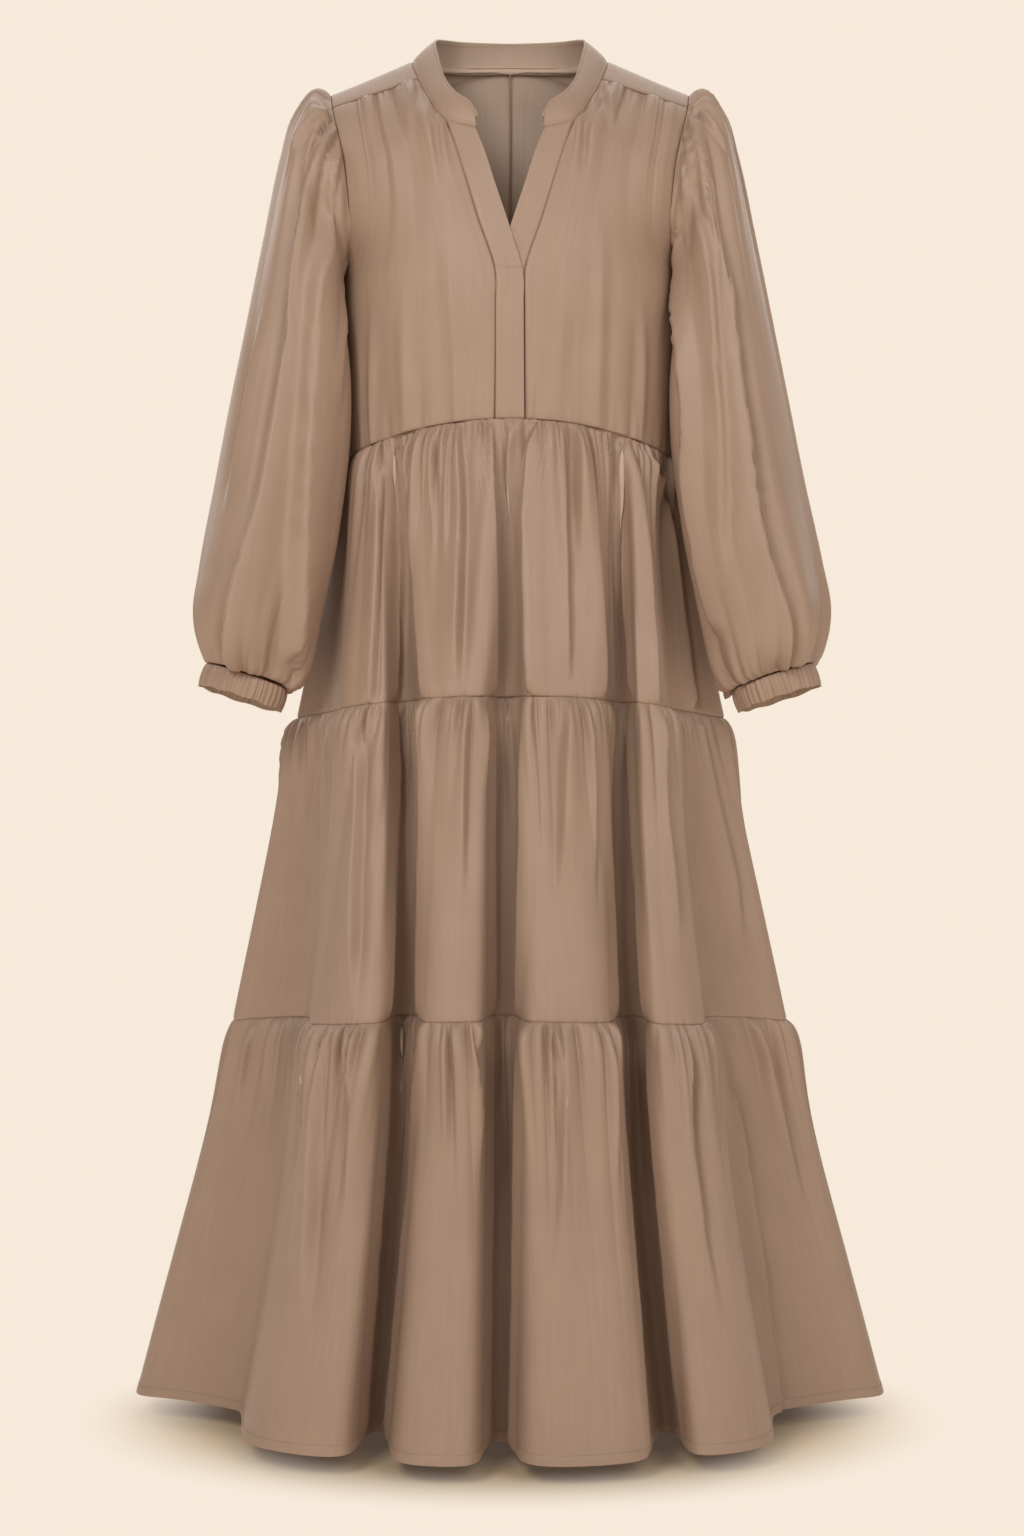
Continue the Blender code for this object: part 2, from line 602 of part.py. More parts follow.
def build():
    """Make every piece of the dress."""
    for item in list(bpy.data.objects):
        bpy.data.objects.remove(item)
    dress = bpy.data.collections.new("tiered_maxi_dress")
    bpy.context.scene.collection.children.link(dress)

    front = front_panel()
    back = back_panel()
    cloth_wall(dress, "bodice_front_left", front, "bodice")
    cloth_wall(dress, "bodice_front_right", mirrored(front), "bodice")
    cloth_wall(dress, "bodice_back_left", back, "bodice")
    cloth_wall(dress, "bodice_back_right", mirrored(back), "bodice")
    cloth_wall(dress, "collar_stand", collar_grid(), "collar")
    cloth_wall(dress, "placket_under", band_grid(False), "band")
    cloth_wall(dress, "placket_over", mirrored(band_grid(True)), "band")

    sleeve = sleeve_grid()[:, ::-1]
    cuff = cuff_grid()[:, ::-1]
    for side, shape in (("left", lambda g: g), ("right", mirrored)):
        cloth_wall(dress, "sleeve_" + side, shape(sleeve), "sleeve", closed=True)
        cloth_wall(dress, "cuff_" + side, shape(cuff), "cuff", closed=True)

    for number in range(len(RINGS) - 1):
        front, back = tier_panels(number)
        cloth_wall(dress, f"tier_{number + 1}_front", front, "tier")
        cloth_wall(dress, f"tier_{number + 1}_back", back, "tier")


build()
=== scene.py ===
"""Looks of a tiered maxi dress in satin crepe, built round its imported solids.

Metres, +Z up, in the frame of the solids: the origin is between the shoulders, the front faces -Y
and the wearer's left is +X. The cloth follows the solids' form, with finer gathers and creases.
"""
import math
from collections import namedtuple

import bmesh
import bpy
import numpy as np
from bpy.props import FloatProperty, FloatVectorProperty, IntProperty, PointerProperty
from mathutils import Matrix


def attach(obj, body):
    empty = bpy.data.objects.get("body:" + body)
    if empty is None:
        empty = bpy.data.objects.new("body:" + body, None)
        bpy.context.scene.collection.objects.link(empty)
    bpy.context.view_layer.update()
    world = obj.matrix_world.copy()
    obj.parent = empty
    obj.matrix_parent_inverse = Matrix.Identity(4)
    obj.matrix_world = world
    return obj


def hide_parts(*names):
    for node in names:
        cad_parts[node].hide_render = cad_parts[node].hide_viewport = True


bl_info = {
    "name": "Tiered maxi dress",
    "version": (1, 0, 0),
    "blender": (4, 5, 0),
    "location": "3D View > Sidebar > Dress",
    "description": "Builds the cloth, sewing and studio of a tiered maxi dress",
    "category": "Object",
}

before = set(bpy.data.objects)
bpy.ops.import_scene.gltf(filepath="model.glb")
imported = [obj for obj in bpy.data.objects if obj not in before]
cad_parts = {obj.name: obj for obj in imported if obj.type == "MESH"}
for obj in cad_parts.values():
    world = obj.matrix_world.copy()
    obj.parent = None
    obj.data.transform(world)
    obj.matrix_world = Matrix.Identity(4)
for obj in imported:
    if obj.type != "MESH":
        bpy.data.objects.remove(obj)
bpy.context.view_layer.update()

MM = 0.001

# Skirt: the seams and the hem, as rings. Front and back are the depths from the side seam.
Ring = namedtuple("Ring", "name half_width front back side_z front_z")
RINGS = (
    Ring("waist seam", 0.163, 0.118, 0.108, -0.396, -0.369),
    Ring("second seam", 0.214, 0.165, 0.160, -0.653, -0.635),
    Ring("third seam", 0.277, 0.220, 0.215, -0.954, -0.936),
    Ring("hem", 0.372, 0.286, 0.285, -1.322, -1.326),
)
PUFF = 0.0065
PUFF_LENGTH = 0.025

# Skirt: the deep folds, in order round the ring. Angles are in degrees from the front towards
# the wearer's left, at the waist seam and at the hem. Lean 0 folds straight back, 1 square to the
# ring. Spread says how crisply the cloth turns out of the fold before and after it. Crest is
# where the lobe that follows has its crest, as a share of its width.
Fold = namedtuple("Fold", "name top hem depth lean before after crest columns")
FOLDS = (
    Fold("right side back", -114, -106, 0.055, 1.0, 4, 4, 0.264, 16),
    Fold("right side front", -72, -45.4, 0.115, 0.0, 1, 4, 0.5, 8),
    Fold("right front", -42, -19.6, 0.105, 0.0, 4, 4, 0.5, 8),
    Fold("centre front", 0, -1.5, 0.093, 0.0, 4, 4, 0.5, 8),
    Fold("left front", 40, 23, 0.100, 0.0, 4, 4, 0.5, 8),
    Fold("left side front", 60, 44.3, 0.115, 0.0, 4, 1, 0.765, 16),
    Fold("left side back", 112, 104, 0.055, 1.0, 4, 4, 0.5, 8),
    Fold("left back outer", 138, 130, 0.078, 0.5, 4, 4, 0.5, 8),
    Fold("left back inner", 160, 154, 0.088, 0.2, 4, 4, 0.5, 8),
    Fold("centre back", 180, 178, 0.080, 0.0, 4, 4, 0.5, 8),
    Fold("right back inner", 200, 203, 0.092, 0.2, 4, 4, 0.5, 8),
    Fold("right back outer", 222, 228, 0.076, 0.5, 4, 4, 0.5, 8),
)
FOLD_GROWTH = 0.55
FOLD_HALF_WIDTH = 0.014
FOLD_OPENING = 0.1
# How much sharper the cloth turns into a deep fold than its plain solid does
FOLD_CRISPNESS = 1.5
RIGHT_SIDE_SEAM = 6
LEFT_SIDE_SEAM = 58

# Armhole: place is in 32nds round it, from the shoulder over the front to the underarm and back
ARMHOLE_PLACES = 32
Armhole = namedtuple("Armhole", "name place x y z")
ARMHOLE = (
    Armhole("shoulder", 0, 0.179, 0.003, -0.030),
    Armhole("forward seam", 2, 0.176, -0.028, -0.048),
    Armhole("front", 7, 0.1615, -0.060, -0.115),
    Armhole("low front", 11.5, 0.157, -0.055, -0.180),
    Armhole("underarm", 16, 0.166, 0.0, -0.218),
    Armhole("low back", 20.5, 0.158, 0.055, -0.180),
    Armhole("back", 25, 0.163, 0.062, -0.110),
    Armhole("back shoulder", 30, 0.177, 0.030, -0.045),
)

# Neckline: the collar's seam and its top edge, from the centre back to the front end
Neck = namedtuple("Neck", "name base top")
NECK = (
    Neck("centre back", (0.0, 0.075, 0.014), (0.0, 0.065, 0.0395)),
    Neck("back", (0.055, 0.065, 0.0115), (0.047, 0.054, 0.038)),
    Neck("behind", (0.090, 0.030, 0.0075), (0.070, 0.025, 0.0325)),
    Neck("shoulder", (0.098, 0.0, 0.003), (0.0745, 0.0, 0.0235)),
    Neck("forward seam", (0.0918, -0.030, -0.020), (0.0712, -0.026, 0.003)),
    Neck("side front", (0.078, -0.065, -0.053), (0.0635, -0.056, -0.027)),
    Neck("band seam", (0.062, -0.085, -0.0744), (0.0510, -0.0785, -0.0475)),
    Neck("front end", (0.0335, -0.095, -0.0845), (0.0320, -0.0895, -0.0605)),
)
NECK_PLACE = {row.name: place for place, row in enumerate(NECK)}
COLLAR_CORNER = 0.55
COLLAR_END_HEIGHT = 0.45

# Bodice rows run from the inner edge to the armhole or side seam. Neck names a place on the
# neckline. Turn is how far the cloth has turned round the body at the outer edge, in degrees.
Row = namedtuple("Row", "name inner outer turn")
FRONT_ROWS = (
    Row("forward seam", "forward seam", 2, 0),
    Row("below the seam", 4.5, 4, 14),
    Row("neck", "side front", 6, 27),
    Row("band top", "band seam", 8, 40),
    Row("upper chest", (0.0525, -0.0965, -0.103), 10, 50),
    Row("chest", (0.0440, -0.1065, -0.131), 12, 60),
    Row("bust", (0.0300, -0.1180, -0.178), 14, 74),
    Row("underarm", (0.0143, -0.1250, -0.226), 16, 90),
    Row("below the bust", (0.0136, -0.1262, -0.262), (0.1668, 0.0, -0.262), 90),
    Row("middle", (0.0135, -0.1245, -0.298), (0.1662, 0.0, -0.306), 90),
    Row("above the waist", (0.0137, -0.1210, -0.334), (0.1650, 0.0, -0.352), 90),
    Row("waist seam", (0.0140, -0.1175, -0.3692), (0.1630, 0.0, -0.396), 90),
)
BACK_ROWS = (
    Row("forward seam", "forward seam", 2, 0),
    Row("shoulder", "shoulder", 0, 0),
    Row("behind the shoulder", "behind", -2, 6),
    Row("back neck", "back", -4, 18),
    Row("centre back neck", "centre back", -6, 35),
    Row("upper back", (0.0, 0.0905, -0.030), -8, 48),
    Row("shoulder blade", (0.0, 0.0990, -0.080), -10, 58),
    Row("low armhole", (0.0, 0.1045, -0.130), -12, 66),
    Row("above the underarm", (0.0, 0.1075, -0.178), -14, 78),
    Row("underarm", (0.0, 0.1090, -0.224), -16, 90),
    Row("below the underarm", (0.0, 0.1100, -0.268), (0.1668, 0.0, -0.262), 90),
    Row("middle", (0.0, 0.1100, -0.311), (0.1662, 0.0, -0.306), 90),
    Row("above the waist", (0.0, 0.1092, -0.354), (0.1650, 0.0, -0.352), 90),
    Row("waist seam", (0.0, 0.1080, -0.396), (0.1630, 0.0, -0.396), 90),
)
# How far a cubic's end tangents reach when it follows a quarter ellipse, as a share of its axes
QUARTER_REACH = 1.657

# Front bands: the seam to the front panel and the free fold, for the band that goes on top
Band = namedtuple("Band", "name seam fold")
BAND_ROWS = (
    Band("collar", "band seam", (0.0335, -0.0950, -0.0848)),
    Band("upper chest", "upper chest", (0.0235, -0.1045, -0.1120)),
    Band("chest", "chest", (0.0150, -0.1120, -0.1400)),
    Band("bust", "bust", (-0.0003, -0.1215, -0.1880)),
    Band("point of the V", "underarm", (-0.0124, -0.1254, -0.2300)),
    Band("below the bust", "below the bust", (-0.0130, -0.1263, -0.2620)),
    Band("middle", "middle", (-0.0132, -0.1246, -0.2980)),
    Band("above the waist", "above the waist", (-0.0134, -0.1211, -0.3340)),
    Band("waist seam", "waist seam", (-0.0136, -0.1176, -0.3692)),
)
BAND_LIFT = 0.0012
LIFT_STARTS = 1
LIFT_IS_FULL = 3

# Sleeve sections, from the head to the cuff: the outermost and innermost points, the middle's
# place front to back, and half the depth
Section = namedtuple("Section", "name out_x out_z in_x in_z mid_y half_depth")
SECTIONS = (
    Section("head", 0.1950, -0.0300, 0.1700, -0.2215, -0.002, 0.070),
    Section("puff", 0.2135, -0.0565, 0.1740, -0.2335, -0.006, 0.072),
    Section("upper arm", 0.2248, -0.0985, 0.1715, -0.2550, -0.014, 0.070),
    Section("biceps", 0.2406, -0.1800, 0.1650, -0.2890, -0.026, 0.065),
    Section("above the elbow", 0.2554, -0.2560, 0.1585, -0.3350, -0.036, 0.061),
    Section("elbow", 0.2716, -0.3360, 0.1580, -0.3900, -0.042, 0.061),
    Section("forearm", 0.2878, -0.4170, 0.1655, -0.4560, -0.046, 0.063),
    Section("blouse", 0.3061, -0.5040, 0.1780, -0.5330, -0.050, 0.066),
    Section("belly", 0.3136, -0.5480, 0.1855, -0.5775, -0.052, 0.065),
    Section("turn", 0.3094, -0.5777, 0.1958, -0.6139, -0.054, 0.056),
    Section("gather", 0.3014, -0.5975, 0.2094, -0.6275, -0.056, 0.041),
    Section("cuff seam", 0.2978, -0.6015, 0.2176, -0.6270, -0.057, 0.034),
)
SLEEVE_FOLD_COUNT = 3
SLEEVE_FOLD_HEIGHT = 0.0045
SLEEVE_FOLD_TWIST = 2.4
# How far the sleeve's cloth stays from the body of the dress, and how far its inner front leans in
SLEEVE_CLEAR = 0.0015
INNER_LEAN = 0.013
CUFF_HEIGHT = 0.022
CUFF_LEAN = math.radians(17.6)
CUFF_TILT = math.radians(5.5)

# How wide the body of the dress is beside the sleeve, so that the sleeve hangs just clear of it
Flank = namedtuple("Flank", "z half_width front back")
FLANKS = (
    Flank(-0.700, 0.232, 0.182, 0.176),
    Flank(-0.653, 0.220, 0.172, 0.167),
    Flank(-0.420, 0.178, 0.131, 0.121),
    Flank(-0.396, 0.167, 0.121, 0.111),
    Flank(-0.300, 0.1665, 0.1250, 0.1105),
    Flank(-0.222, 0.1665, 0.1255, 0.1095),
)

# Rows near a seam or an edge, as distances from it, so that the roll into the seam is round
NEAR_SEAM = (0.0, 0.0006, 0.0013, 0.0022, 0.0034, 0.0050, 0.0070, 0.0095, 0.0125, 0.0160, 0.0205,
             0.0260, 0.0325, 0.0400)
NEAR_EDGE = (0.0, 0.0006, 0.0016, 0.0032, 0.0055, 0.0078, 0.0086, 0.0094, 0.0110, 0.0150)

# Main creases of each piece, as they show from the front, or from the back where the name says so.
# The line's points are X and Z in mm. Height is how far the crest stands out. Before and after are
# how wide its flanks are towards -X and +X, in mm; the narrower one is steep, with a dip beside it.
# Start is its share of the height at its first point, and hold the share of its length after which
# it dies out.
Crease = namedtuple("Crease", "line height before after start hold")
CREASES = {
    "tier_1_front": (
        Crease(((-126, -414), (-127, -502), (-130, -580), (-133, -638)), 5, 18, 7, 0.5, 1),
        Crease(((-107, -402), (-104, -445), (-107, -560), (-111, -640)), 4, 16, 6, 0.5, 1),
        Crease(((-96, -393), (-95, -445), (-88, -560), (-82, -640)), 4, 5, 16, 0.5, 1),
        Crease(((-73, -385), (-74, -440), (-74, -480)), 4, 12, 5, 0.7, 0.4),
        Crease(((-59, -382), (-61, -453), (-64, -515)), 3, 10, 6, 0.5, 0.4),
        Crease(((-50, -380), (-47, -458), (-50, -563), (-51, -630)), 6.5, 22, 8, 0.6, 0.7),
        Crease(((-20, -377), (-19, -457), (-18, -543), (-16, -627)), 6, 24, 6, 0.6, 1),
        Crease(((3, -376), (5, -420), (5, -470)), 4, 12, 6, 0.6, 0.5),
        Crease(((24, -379), (18, -410), (17, -505), (19, -629)), 6, 6, 20, 0.6, 1),
        Crease(((47, -381), (52, -458), (54, -554), (55, -620)), 5.5, 18, 8, 0.5, 0.8),
        Crease(((64, -382), (66, -440), (68, -500)), 4, 6, 12, 0.7, 0.5),
        Crease(((73, -381), (80, -466), (85, -543), (88, -634)), 5, 22, 6, 0.5, 1),
        Crease(((103, -392), (104, -445), (108, -503), (118, -638)), 4.5, 6, 14, 0.5, 1),
        Crease(((117, -396), (125, -435), (133, -503), (141, -638)), 5.5, 16, 7, 0.5, 1),
        Crease(((130, -400), (151, -441), (165, -518), (181, -636)), 5, 16, 8, 0.5, 1),
    ),
    "tier_2_front": (
        Crease(((-205, -664), (-208, -695), (-210, -774)), 4, 12, 7, 0.5, 0.5),
        Crease(((-170, -662), (-176, -720), (-180, -800), (-184, -900)), 5, 8, 18, 0.5, 0.6),
        Crease(((-145, -661), (-144, -733), (-147, -834), (-148, -919)), 6, 24, 9, 0.5, 0.8),
        Crease(((-108, -655), (-109, -740), (-112, -840), (-115, -936)), 5, 20, 6, 0.5, 1),
        Crease(((-81, -650), (-82, -740), (-83, -840), (-84, -936)), 5, 6, 18, 0.5, 1),
        Crease(((-41, -639), (-43, -698), (-44, -770), (-46, -844)), 5.5, 22, 8, 0.5, 0.5),
        Crease(((-23, -639), (-22, -681), (-21, -730)), 4, 10, 6, 0.6, 0.4),
        Crease(((-16, -638), (-16, -740), (-16, -840), (-15, -936)), 4, 16, 5, 0.5, 1),
        Crease(((14, -638), (13, -740), (11, -840), (8, -936)), 5, 5, 16, 0.5, 1),
        Crease(((55, -645), (51, -698), (50, -770), (43, -834)), 5.5, 8, 22, 0.6, 0.5),
        Crease(((69, -647), (75, -698), (78, -767), (78, -826)), 4.5, 18, 8, 0.5, 0.6),
        Crease(((88, -648), (91, -740), (95, -840), (98, -938)), 5, 18, 6, 0.5, 1),
        Crease(((114, -652), (118, -740), (123, -840), (128, -940)), 5, 6, 18, 0.5, 1),
        Crease(((145, -661), (145, -733), (153, -809), (160, -883)), 5.5, 18, 10, 0.5, 0.6),
        Crease(((186, -664), (203, -734), (220, -805), (231, -882)), 5.5, 18, 9, 0.5, 0.7),
    ),
    "tier_3_front": (
        Crease(((-255, -961), (-263, -1005), (-268, -1039)), 4.5, 14, 8, 0.5, 0.4),
        Crease(((-173, -957), (-181, -998), (-184, -1062), (-187, -1151),
                (-187, -1217)), 7, 26, 10, 0.5, 0.7),
        Crease(((-144, -955), (-147, -1037), (-151, -1118)), 5, 10, 20, 0.5, 0.5),
        Crease(((-113, -950), (-119, -1060), (-127, -1180), (-136, -1310)), 5, 22, 7, 0.5, 1),
        Crease(((-83, -945), (-91, -1060), (-101, -1180), (-113, -1310)), 5, 7, 20, 0.5, 1),
        Crease(((-60, -942), (-59, -1006), (-61, -1086)), 4.5, 18, 8, 0.5, 0.4),
        Crease(((-40, -940), (-28, -1008), (-27, -1082)), 5.5, 18, 8, 0.5, 0.4),
        Crease(((-16, -938), (-17, -1060), (-19, -1180), (-21, -1315)), 4, 18, 6, 0.5, 1),
        Crease(((10, -938), (8, -1060), (6, -1180), (3, -1315)), 5, 6, 18, 0.5, 1),
        Crease(((42, -943), (51, -979), (51, -1024), (47, -1099), (40, -1183)), 6.5, 8, 26, 0.6, 0.5),
        Crease(((85, -946), (92, -1018), (95, -1090)), 5, 20, 8, 0.5, 0.4),
        Crease(((98, -946), (106, -1060), (114, -1180), (123, -1312)), 4.5, 18, 6, 0.5, 1),
        Crease(((128, -950), (137, -1060), (147, -1180), (158, -1310)), 5, 6, 18, 0.5, 1),
        Crease(((165, -953), (165, -1001), (169, -1065), (181, -1147), (194, -1218)), 6, 20, 10, 0.5, 0.6),
        Crease(((187, -958), (218, -1025), (229, -1080), (239, -1149), (249, -1218),
                (260, -1312)), 7, 26, 8, 0.5, 1),
        Crease(((240, -961), (260, -1012), (277, -1084), (294, -1155)), 5.5, 16, 9, 0.5, 0.5),
    ),
    "sleeve_right": (
        Crease(((-180, -86), (-195, -124), (-203, -173), (-211, -237), (-217, -311), (-227, -378),
                (-238, -446), (-256, -507), (-265, -546), (-271, -588)), 11, 11, 30, 0.6, 1),
        Crease(((-170, -115), (-173, -156), (-179, -205), (-185, -243), (-189, -311), (-195, -404),
                (-200, -507), (-204, -588)), 10, 22, 34, 0.6, 1),
        Crease(((-165, -137), (-162, -189), (-161, -269), (-165, -366)), 4, 12, 7, 0.5, 0.7),
        Crease(((-244, -269), (-253, -333), (-265, -398), (-278, -462)), 4, 9, 16, 0.2, 0.6),
        Crease(((-180, -58), (-200, -77), (-213, -96), (-227, -150)), 4, 9, 5, 0.9, 0.4),
        Crease(((-177, -64), (-192, -90), (-203, -130), (-211, -190)), 5, 9, 5, 0.9, 0.4),
        Crease(((-171, -78), (-185, -110), (-189, -160)), 5, 8, 4, 0.9, 0.4),
        Crease(((-167, -102), (-175, -146), (-178, -217)), 5, 8, 4, 0.9, 0.4),
    ),
    "sleeve_left": (
        Crease(((182, -73), (190, -115), (199, -182), (212, -250), (219, -327), (228, -385),
                (240, -472), (254, -526), (264, -559), (267, -591)), 11, 30, 11, 0.6, 1),
        Crease(((172, -105), (166, -150), (162, -189), (163, -269), (167, -349), (170, -427),
                (182, -507), (195, -559)), 9, 9, 22, 0.6, 1),
        Crease(((182, -150), (191, -205), (199, -333), (203, -407), (203, -526)), 5, 18, 9, 0.4, 0.8),
        Crease(((180, -56), (198, -73), (212, -98), (224, -150)), 4, 5, 9, 0.9, 0.4),
        Crease(((176, -66), (184, -92), (189, -130), (194, -190)), 5, 5, 9, 0.9, 0.4),
        Crease(((171, -84), (177, -115), (180, -165)), 5, 4, 8, 0.9, 0.4),
        Crease(((167, -110), (171, -150), (174, -215)), 5, 4, 8, 0.9, 0.4),
    ),
    "sleeve_right seen from the back": (
        Crease(((-182, -62), (-199, -130), (-215, -215), (-226, -300), (-244, -410), (-262, -520),
                (-270, -575)), 8, 24, 9, 0.7, 1),
        Crease(((-175, -95), (-184, -170), (-190, -260), (-199, -350), (-209, -450)), 7, 9, 22, 0.7, 0.7),
        Crease(((-169, -125), (-170, -200), (-174, -300), (-181, -400)), 5, 14, 7, 0.7, 0.6),
        Crease(((-225, -210), (-244, -320), (-262, -430), (-276, -500)), 4, 8, 16, 0.2, 0.6),
    ),
    "sleeve_left seen from the back": (
        Crease(((183, -60), (197, -120), (212, -200), (224, -290), (238, -390), (256, -490),
                (268, -570)), 8, 9, 26, 0.7, 1),
        Crease(((176, -90), (186, -160), (194, -240), (203, -340), (216, -450),
                (226, -560)), 7, 20, 9, 0.7, 0.8),
        Crease(((169, -130), (171, -210), (176, -310), (184, -400)), 5, 7, 14, 0.7, 0.6),
    ),
    "bodice_back_right": (
        Crease(((-55, -392), (-52, -330), (-49, -240), (-47, -170)), 2.5, 18, 14, 0.8, 0.3),
        Crease(((-112, -392), (-110, -330), (-104, -260)), 2.5, 12, 18, 0.8, 0.3),
        Crease(((-150, -150), (-125, -180), (-92, -200)), 2.5, 16, 16, 0.6, 0.4),
    ),
    "bodice_back_left": (
        Crease(((44, -392), (44, -330), (47, -260), (50, -190)), 2.5, 14, 18, 0.8, 0.3),
        Crease(((98, -392), (101, -320), (100, -240)), 2.5, 18, 12, 0.8, 0.3),
        Crease(((148, -165), (118, -190), (84, -204)), 2.5, 16, 16, 0.6, 0.4),
    ),
    "bodice_front_right": (
        Crease(((-52, -372), (-54, -300), (-58, -230), (-62, -160)), 1.8, 18, 18, 0.8, 0.4),
        Crease(((-100, -382), (-103, -310), (-104, -220)), 1.8, 16, 16, 0.8, 0.4),
        Crease(((-135, -388), (-136, -320), (-134, -240)), 2.0, 14, 14, 0.8, 0.4),
        Crease(((-78, -44), (-77, -80), (-73, -115), (-66, -165)), 4.5, 14, 5, 0.8, 0.4),
        Crease(((-68, -62), (-64, -95), (-56, -140)), 3.5, 8, 5, 0.8, 0.4),
        Crease(((-94, -35), (-96, -60), (-98, -110)), 3.5, 10, 5, 0.8, 0.4),
    ),
    "bodice_front_left": (
        Crease(((46, -372), (48, -300), (53, -220)), 1.8, 18, 18, 0.8, 0.4),
        Crease(((84, -378), (86, -300), (88, -220), (86, -150)), 1.8, 16, 16, 0.8, 0.4),
        Crease(((128, -386), (130, -310), (127, -230)), 2.0, 14, 14, 0.8, 0.4),
        Crease(((20, -366), (22, -345), (24, -318)), 1.5, 4, 10, 0.9, 0.4),
        Crease(((78, -44), (78, -80), (76, -115), (70, -165)), 4.5, 5, 14, 0.8, 0.4),
        Crease(((68, -62), (65, -95), (58, -140)), 3.5, 5, 8, 0.8, 0.4),
        Crease(((94, -35), (98, -60), (104, -100)), 4, 5, 10, 0.8, 0.4),
    ),
}

# How far from a seam a main crease has its full height
CREASE_FADE = 0.008
# How round a crease's crest is, and how deep the cloth dips beside its steep flank
CREST_RADIUS = 0.0009
UNDERCUT = 0.7
# How much narrower the steep flank is made than the table says
STEEPNESS = 0.7
# Points along a crease, how many of them smooth its depth, and how far the cloth has to face the eye
CREASE_POINTS = 90
CREASE_SMOOTHING = 15
LEAST_FACING = 0.12
# The share of its length over which a crease rises
CREASE_RISE = 0.2

# Gathers: how uneven their widths and crests are, the least and the spread of their heights and
# reaches, how round a ridge is, and how far the cloth between them lies below the plain form
WIDTH_SPREAD = 0.55
CREST_SPREAD = 0.26
HEIGHT_RANGE = (0.35, 1.1)
REACH_RANGE = (0.45, 1.2)
ROUND_CREST = 0.12
FADE_POWER = 1.4
SINK = 0.6
# Powers that shape the tubes, the ridges and creases, and the spread of the reaches
TUBE_POWER, RIDGE_POWER, REACH_POWER = 0.8, 1.3, 1.5

# Sets of gathers that run together into wider ones: their height and reach, and their crispness,
# from 0 for round tubes to 1 for ridges. On the sleeves, height is a share of the panel's value.
Gathers = namedtuple("Gathers", "height reach crisp")
SHOULDER_GATHERS = (Gathers(0.0042, 0.040, 0.1), Gathers(0.0075, 0.095, 0.7))
WAIST_PUCKERS = (Gathers(0.0010, 0.018, 0.0), Gathers(0.0018, 0.060, 0.3))
HEAD_GATHERS = (Gathers(1.0, 0.030, 0.0), Gathers(1.7, 0.080, 0.5), Gathers(2.0, 0.260, 1.0))
CUFF_GATHERS = (Gathers(0.9, 0.016, 0.0), Gathers(1.8, 0.045, 0.4), Gathers(2.6, 0.120, 1.0))
SHOULDER_SPACING = 0.0075
PUCKER_SPACING = 0.011
CUFF_SPACING = 0.0065

# Skirt meshes: columns in front and behind, and rows of each tier. The columns are closer
# together in the faces that show, from this share of a lobe on, than deep in the folds, and are
# spaced by the waist seam and by the last tier this far down.
FRONT_COLUMNS = 760
BACK_COLUMNS = 460
TIER_ROWS = (12, 14, 17)
HIDDEN_SHARE = 0.3
SHOWS_FROM, SHOWS_FADE = 0.4, 0.25
COLUMN_DROP = 0.36
# How much wider the gathers are on each tier than on the one above, how far down they reach, and
# the share of the long ones in front, where the table's creases take their place
WIDER = 0.25
FINE_REACH, MIDDLE_REACH, LONG_REACH = 0.042, 0.075, 0.190
LONG_IN_FRONT = 0.6
# How the heights of the fine and middle ones grow with their width
FINE_GROWTH, MIDDLE_GROWTH = 1.4, 1.3
# How the gathers drift sideways on their way down: slope, waves round the ring and shift by tier
DRIFT = ((0.05, 5, 1), (0.04, 13, 2))
# How far below the seam the gathers have risen out of it, their height in it, and how flat they
# lie at the side: from this share of the half-width on, and how far down
RISE_LENGTH = 0.005
LEAST_RISE = 0.12
FLAT_AT_SIDE = 0.45
SIDE_FROM, SIDE_FADE, SIDE_REACH = 0.85, 0.2, 0.05
# How far above a seam the cloth starts to follow the gathers of the tier below
FOLLOW_LENGTH = 0.006
# The hem's turned cloth, and its stitch line: depth, half-width and how far below its edge it runs
HEM_ROLL = 0.0005
STITCH_DEPTH = 0.0004
STITCH_GROOVE = 0.0006
STITCH_INSET = 0.0004
# How softly the turned cloth steps down at its edge, and how far below the edge that ends
HEM_EDGE, HEM_EDGE_INSET = 0.0012, 0.0008
# From stitch to stitch, in stitch lengths
STITCH_PITCH = 1.35

# Bodice meshes, and how much deeper the gathered front tucks in under the forward seam than cloth
# rolls into a seam
BODICE_MESH_ROWS = 46
FRONT_PANEL_COLUMNS = 97
BACK_PANEL_COLUMNS = 73
TUCK = 2.2
# Where the shoulder's gathers start and end along the seam, and how they rise out of it
ZONE_START, ZONE_END, ZONE_FADE = 0.006, 0.040, 0.045
SHOULDER_LEAST, SHOULDER_RISE = 0.1, 0.004
# Shares of the seam roll at the first and last edge of a panel, and at the back's top
FRONT_ROLLS, BACK_ROLLS, BACK_TOP_ROLL = (1, 0.3), (0.3, 0.6), 0.2

# Sleeve mesh, round and down
SLEEVE_COLUMNS = 240
SLEEVE_ROWS = 66
# The heights between which the sleeve lies beside the body, and how softly that starts and ends
BESIDE_TOP, BESIDE_TOP_FADE = -0.150, 0.06
BESIDE_BOTTOM, BESIDE_BOTTOM_FADE = -0.60, 0.12
# How far above the top of the flanks' table the sleeve starts to be kept clear of them
CLEAR_FROM, CLEAR_FADE = 0.01, 0.03
# Where round the head its gathers lie, as a cosine, how they rise, and its share of the seam roll
HEAD_FROM, HEAD_FADE, HEAD_RISE, HEAD_ROLL = 0.35, 0.5, 0.005, 0.3
# How flat the cuff seam presses the gathers, and how soon they rise above it
CUFF_PRESS, CUFF_RISE = 0.95, 0.005

